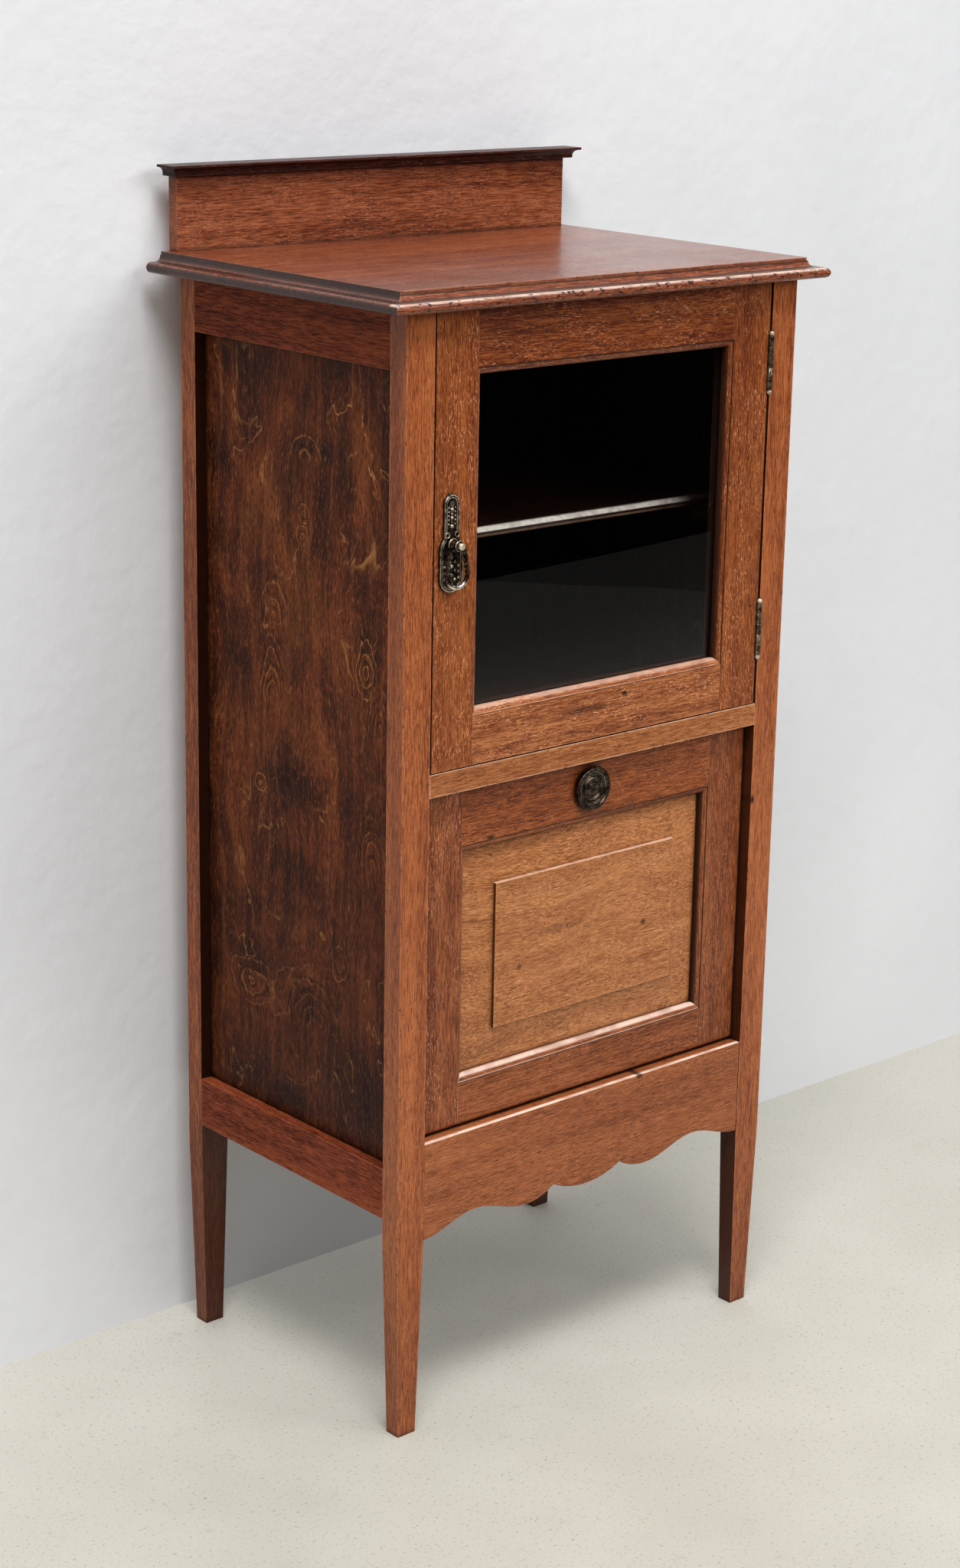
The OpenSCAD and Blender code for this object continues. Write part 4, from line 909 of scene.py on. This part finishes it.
# A turned boss, and where the bosses of the foot (x, z, size) and of the head (z, size) stand
DOME = [(-0.3, 0), (-0.3, 1.3), (0, 1.3), (0.45, 1.1), (0.75, 0.7), (0.85, 0)]
FOOT_BOSSES = (
    (0, -12, 1.3),
    (-4, -16, 1.1),
    (4, -16, 1.1),
    (0, -20, 1.5),
    (-4, -24, 1.1),
    (4, -24, 1.1),
    (0, -28, 1.5),
    (-4, -32, 1.1),
    (4, -32, 1.1),
)
HEAD_BOSSES = ((31.0, 1.5), (27.2, 1.0), (23.6, 1.3), (20.0, 1.0), (16.2, 1.5))
LEAF_X, LEAF_UP, LEAF_SIZE = 3.7, 1.9, 0.6
# The drop ring: half the length of its bar, the drop and radius of its bow, the radii of its metal, and
# how far below the axis the bar ends
RING_HALF, RING_DROP, BOW_R, RING_R, BAR_R, BAR_DOWN = 7.0, 26.0, 12.0, 2.0, 1.9, 1
# The metal swells by BOW_SWELL from the axis down to BOW_DOWN
LIMB_SWELL, BOW_SWELL, BOW_DOWN = 0.96, 0.1, 36
RING_STEP, RING_SMOOTHING = 0.45, 6
# The twist of its limbs: its strands, pitch and depth, the drops between which it is seen, and the
# lengths over which it sets in and dies away
TWIST_STRANDS, TWIST_PITCH, TWIST_DEPTH = 3, 5.2, 0.24
TWIST_FROM, TWIST_TO, TWIST_START, TWIST_END = 2.5, 29, 3, 4
# Beads on the boss, as (y, radius, thickness), and the button on its tip
COLLARS = ((-169.6, 5.2, 0.7), (-178.0, 4.5, 0.55))
BUTTON_Y = -181.9
BUTTON = [(-1.6, 0), (-1.6, 3.0), (-0.4, 3.5), (0.3, 3.1), (0.75, 2.2), (1.0, 1.2), (1.05, 0)]


def clamped(share):
    return max(0.0, min(1.0, share))


def plate_line(inset):
    """The backplate's outline, moved inwards by inset, in millimetres from the handle's axis."""
    low_r, top_r = FOOT_R - inset, HEAD_R - inset
    turn = math.degrees(math.acos(top_r / low_r))
    line = arc((0, FOOT_LOW), low_r, -90, 0) + arc((0, FOOT_HIGH), low_r, 0, turn, 6)
    line += arc((0, HEAD_Z), top_r, 0, 180)
    line += arc((0, FOOT_HIGH), low_r, 180 - turn, 180, 6) + arc((0, FOOT_LOW), low_r, 180, 270)
    kept = [line[0]]
    for point in line[1:]:
        if math.dist(point, kept[-1]) > 0.2:
            kept.append(point)
    return kept[:-1] if math.dist(kept[0], kept[-1]) < 0.2 else kept


def on_plate(line, y):
    return [Vector(((HANDLE_X + x) * MM, y * MM, (HANDLE_Z + z) * MM)) for x, z in line]


def boss(mesh, x, z, size, turns):
    profile = [(rise * size, radius * size) for rise, radius in DOME]
    revolve(mesh, ((HANDLE_X + x) * MM, PLATE_Y * MM, (HANDLE_Z + z) * MM), profile, turns)


def plate_relief():
    """Raised rim, inner bead, eyelets and stamped bosses on the handle's backplate."""

    def rim_radius(share, angle):
        return RIM_R * MM

    def bead_radius(share, angle):
        return BEAD_R * MM * (1 + BEAD_SWELL * math.cos(2 * math.pi * BEADS * share))

    mesh = bmesh.new()
    loop_tube(mesh, on_plate(even_path(plate_line(RIM_IN), RIM_STEP), PLATE_Y - SUNK), rim_radius)
    loop_tube(mesh, on_plate(even_path(plate_line(BEAD_IN), BEAD_STEP), PLATE_Y - SUNK), bead_radius, 8)
    for side in (-1, 1):
        eyelet = arc((side * EYELET_X, EYELET_Z), EYELET_R, 0, 360, 28)[:-1]
        loop_tube(mesh, on_plate(eyelet, PLATE_Y - EYELET_SUNK), rim_radius)
        for z in SIDE_BOSS_ZS:
            boss(mesh, side * SIDE_BOSS_X, z, 1, 16)
    for x, z, size in FOOT_BOSSES:
        boss(mesh, x, z, size, 16)
    for z, size in HEAD_BOSSES:
        boss(mesh, 0, z, size, 20)
        for side in (-1, 1):
            boss(mesh, side * LEAF_X, z + LEAF_UP, LEAF_SIZE, 14)
    finish_mesh("handle_plate_relief", mesh, rubbed, "door")


def drop_ring():
    """The drop ring: a plain bar in the boss, twisted limbs and a smooth, thicker bow."""
    start = math.atan2(RING_DROP, RING_HALF) - math.acos(BOW_R / math.hypot(RING_HALF, RING_DROP))
    start = math.degrees(start)
    bow = arc((0, -RING_DROP), BOW_R, start, -180 - start, 60)
    path = even_path([(RING_HALF, 0), *bow, (-RING_HALF, 0)], RING_STEP)
    points = on_plate(path, DROP_Y)
    count = len(points)
    for _ in range(RING_SMOOTHING):
        points = [(points[i - 1] + points[i] * 2 + points[(i + 1) % count]) / 4 for i in range(count)]

    def radius(share, angle):
        down = HANDLE_Z - points[round(share * count) % count].z / MM
        if down < BAR_DOWN:
            return BAR_R * MM
        twisted = clamped((down - TWIST_FROM) / TWIST_START) * clamped((TWIST_TO - down) / TWIST_END)
        swell = LIMB_SWELL + BOW_SWELL * min(1.0, down / BOW_DOWN)
        turn = TWIST_STRANDS * angle + 2 * math.pi * share * count * RING_STEP / TWIST_PITCH
        return RING_R * MM * (swell + TWIST_DEPTH * twisted * math.cos(turn))

    mesh = bmesh.new()
    loop_tube(mesh, points, radius, 24)
    finish_mesh("drop_ring", mesh, black_bronze, "handle_ring", ["handle_ring"])


def boss_collars():
    """Turned beads round the boss."""
    mesh = bmesh.new()
    for y, ring_r, thick in COLLARS:
        ring = on_plate(arc((0, 0), ring_r, 0, 360, 40)[:-1], y)
        loop_tube(mesh, ring, lambda share, angle, thick=thick: thick * MM)
    finish_mesh("handle_boss_collars", mesh, rubbed, "door_handle")


def boss_button():
    """The rubbed button on the tip of the boss."""
    mesh = bmesh.new()
    revolve(mesh, (HANDLE_X * MM, BUTTON_Y * MM, HANDLE_Z * MM), BUTTON, 28)
    finish_mesh("handle_boss_button", mesh, polished_and_glint, "door_handle")


plate_relief()
drop_ring()
boss_collars()
boss_button()


# Floor, wall and light, in metres

STAGE_LEFT, STAGE_RIGHT, STAGE_FRONT, STAGE_BACK = -6, 7, -2.95, 5
WALL_Y, WALL_TOP = 0.200, 4.5
AIM = (0.0, 0.0, 0.6)
# Brightness of the sky: at the horizon, overhead, and as the camera sees it
LOW_SKY, HIGH_SKY, BACKDROP = (0.004, 0.004, 0.004, 1), (0.6, 0.6, 0.61, 1), (0.72, 0.72, 0.71, 1)
HIGH_SKY_FROM = 0.45
# Noises, as (scale, detail, roughness)
FLOOR_CLOUD = (1.6, 5.0, 0.6)
FLOOR_MARKS = (30.0, 4.0, 0.7)
FLOOR_GRIT = (260.0, 3.0, 0.7)
CHIPS = (140.0, 4.0, 0.7)
CHIP_PATCHES = (5.0, 3.0, 0.5)
WALL_CLOUD = (2.0, 4.0, 0.6)
WALL_GRAIN = (40.0, 4.0, 0.5)
# The stretch of Y over which the floor, as the glass mirrors it, grows dark
DARK_FROM, DARK_TO = -1.3, -2.6


def stage_sheet(name, corners, material):
    mesh = bpy.data.meshes.new(name)
    mesh.from_pydata(corners, [], [tuple(range(len(corners)))])
    obj = link_object(name, mesh)
    mesh.materials.append(material)
    return obj


def floor_material():
    """Pale screed with faint marks. Its far part looks dark in the glass, as a room would."""
    s = Shade("pale_floor")
    cloud = s.noise(s.here, *FLOOR_CLOUD)
    s.colour = s.ramp(cloud, (0.3, tone("b9b6ab")), (0.7, tone("cbc8be")))
    s.over(s.steps(s.noise(s.here, *FLOOR_MARKS), 0.62, 0.75, 0.0, 0.35), tone("9a9586"))
    grit = s.noise(s.here, *FLOOR_GRIT)
    s.over(s.steps(grit, 0.58, 0.68, 0.0, 0.55), tone("7c7566"))
    chips = s.steps(s.noise(s.here, *CHIPS), 0.62, 0.68, 0.0, 0.5)
    s.over(s.times(chips, s.steps(s.noise(s.here, *CHIP_PATCHES), 0.42, 0.6, 0.15, 1.0)), tone("8f8878"))
    far = s.steps(s.xyz[1], DARK_FROM, DARK_TO, 0.0, 0.9)
    s.over(s.times(far, s.node("ShaderNodeLightPath").outputs["Is Glossy Ray"]), tone("262320"))
    rough = s.steps(cloud, 0.3, 0.7, 0.42, 0.6)
    s.surface(Base_Color=s.colour, Roughness=rough, Normal=s.bump(grit, 0.0003))
    return s.material


def wall_material():
    """White wall, seen from its front only."""
    s = Shade("white_wall")
    colour = s.ramp(s.noise(s.here, *WALL_CLOUD), (0.3, tone("dddfe3")), (0.7, tone("e6e8ec")))
    shader = s.surface(Base_Color=colour, Normal=s.bump(s.noise(s.here, *WALL_GRAIN), 0.0012))
    shader.inputs["Roughness"].default_value = 0.55
    s.let_through(s.node("ShaderNodeNewGeometry").outputs["Backfacing"], shader, (1, 1, 1, 1))
    return s.material


def upright(y, low, high):
    return [(STAGE_LEFT, y, low), (STAGE_RIGHT, y, low), (STAGE_RIGHT, y, high), (STAGE_LEFT, y, high)]


def level_sheet(front, back):
    return [(STAGE_LEFT, front, 0), (STAGE_RIGHT, front, 0), (STAGE_RIGHT, back, 0), (STAGE_LEFT, back, 0)]


stage_sheet("floor", level_sheet(STAGE_FRONT, STAGE_BACK), floor_material())
wall = stage_sheet("wall", upright(WALL_Y, 0, WALL_TOP), wall_material())
wall.visible_diffuse = False
wall.visible_shadow = False


def area_light(name, place, target, size, power, colour):
    data = bpy.data.lights.new(name, "AREA")
    data.shape = "RECTANGLE"
    data.size, data.size_y = size
    data.energy = power
    data.color = colour
    lamp = link_object(name, data)
    lamp.location = place
    lamp.rotation_mode = "QUATERNION"
    lamp.rotation_quaternion = (Vector(target) - Vector(place)).to_track_quat("-Z", "Y")
    lamp.visible_camera = False


area_light("key", (-1.36, -1.92, 4.76), AIM, size=(2.0, 1.3), power=186, colour=(1.0, 0.99, 0.97))
area_light("front", (0.9, -3.0, 2.5), AIM, size=(2.4, 1.2), power=39, colour=(1.0, 0.99, 0.975))
area_light("behind", (0.6, 2.6, 2.4), (0.0, 0.2, 0.7), size=(2.4, 2.0), power=14, colour=(1.0, 1.0, 1.0))


def sky():
    """Dim studio light: dark at the horizon, brighter overhead, and a plain pale backdrop."""
    world = bpy.data.worlds.new("studio")
    scene.world = world
    world.use_nodes = True
    tree = world.node_tree
    tree.nodes.clear()
    out = tree.nodes.new("ShaderNodeOutputWorld")
    way = tree.nodes.new("ShaderNodeTexCoord")
    parts = tree.nodes.new("ShaderNodeSeparateXYZ")
    shade = tree.nodes.new("ShaderNodeValToRGB")
    tree.links.new(way.outputs["Generated"], parts.inputs[0])
    tree.links.new(parts.outputs[2], shade.inputs[0])
    first, last = shade.color_ramp.elements
    first.position, first.color = 0.0, LOW_SKY
    last.position, last.color = HIGH_SKY_FROM, HIGH_SKY
    light = tree.nodes.new("ShaderNodeBackground")
    light.inputs[1].default_value = 1.0
    tree.links.new(shade.outputs[0], light.inputs[0])
    backdrop = tree.nodes.new("ShaderNodeBackground")
    backdrop.inputs[0].default_value = BACKDROP
    ray = tree.nodes.new("ShaderNodeLightPath")
    either = tree.nodes.new("ShaderNodeMixShader")
    tree.links.new(ray.outputs["Is Camera Ray"], either.inputs[0])
    tree.links.new(light.outputs[0], either.inputs[1])
    tree.links.new(backdrop.outputs[0], either.inputs[2])
    tree.links.new(either.outputs[0], out.inputs[0])


sky()
scene.view_settings.view_transform = "Standard"

# Camera, at the photograph's angle

YAW, PITCH, ROLL = (math.radians(a) for a in (-42.2525, -16.3645, 1.3563))
CAMERA_AT = (-1.8646, -2.1214, 1.4048)
FOCAL_PX, CENTRE_X, CENTRE_Y = 3873.32, 693.35, 1020.64
WIDTH_PX, HEIGHT_PX, SENSOR = 1254, 2048, 36.0
CLIP_NEAR, CLIP_FAR = 0.05, 60

forward = Vector((-math.sin(YAW) * math.cos(PITCH), math.cos(YAW) * math.cos(PITCH), math.sin(PITCH)))
level = forward.cross(Vector((0, 0, 1))).normalized()
upward = level.cross(forward)
cam_x = math.cos(ROLL) * level + math.sin(ROLL) * upward
cam_y = math.cos(ROLL) * upward - math.sin(ROLL) * level
turned = Matrix((cam_x, cam_y, -forward)).transposed().to_4x4()

camera_data = bpy.data.cameras.new("camera")
camera_data.sensor_width = SENSOR
camera_data.lens = FOCAL_PX * SENSOR / HEIGHT_PX
camera_data.shift_x = (WIDTH_PX / 2 - CENTRE_X) / HEIGHT_PX
camera_data.shift_y = (CENTRE_Y - HEIGHT_PX / 2) / HEIGHT_PX
camera_data.clip_start, camera_data.clip_end = CLIP_NEAR, CLIP_FAR
camera = link_object("camera", camera_data)
camera.matrix_world = Matrix.Translation(CAMERA_AT) @ turned
scene.camera = camera
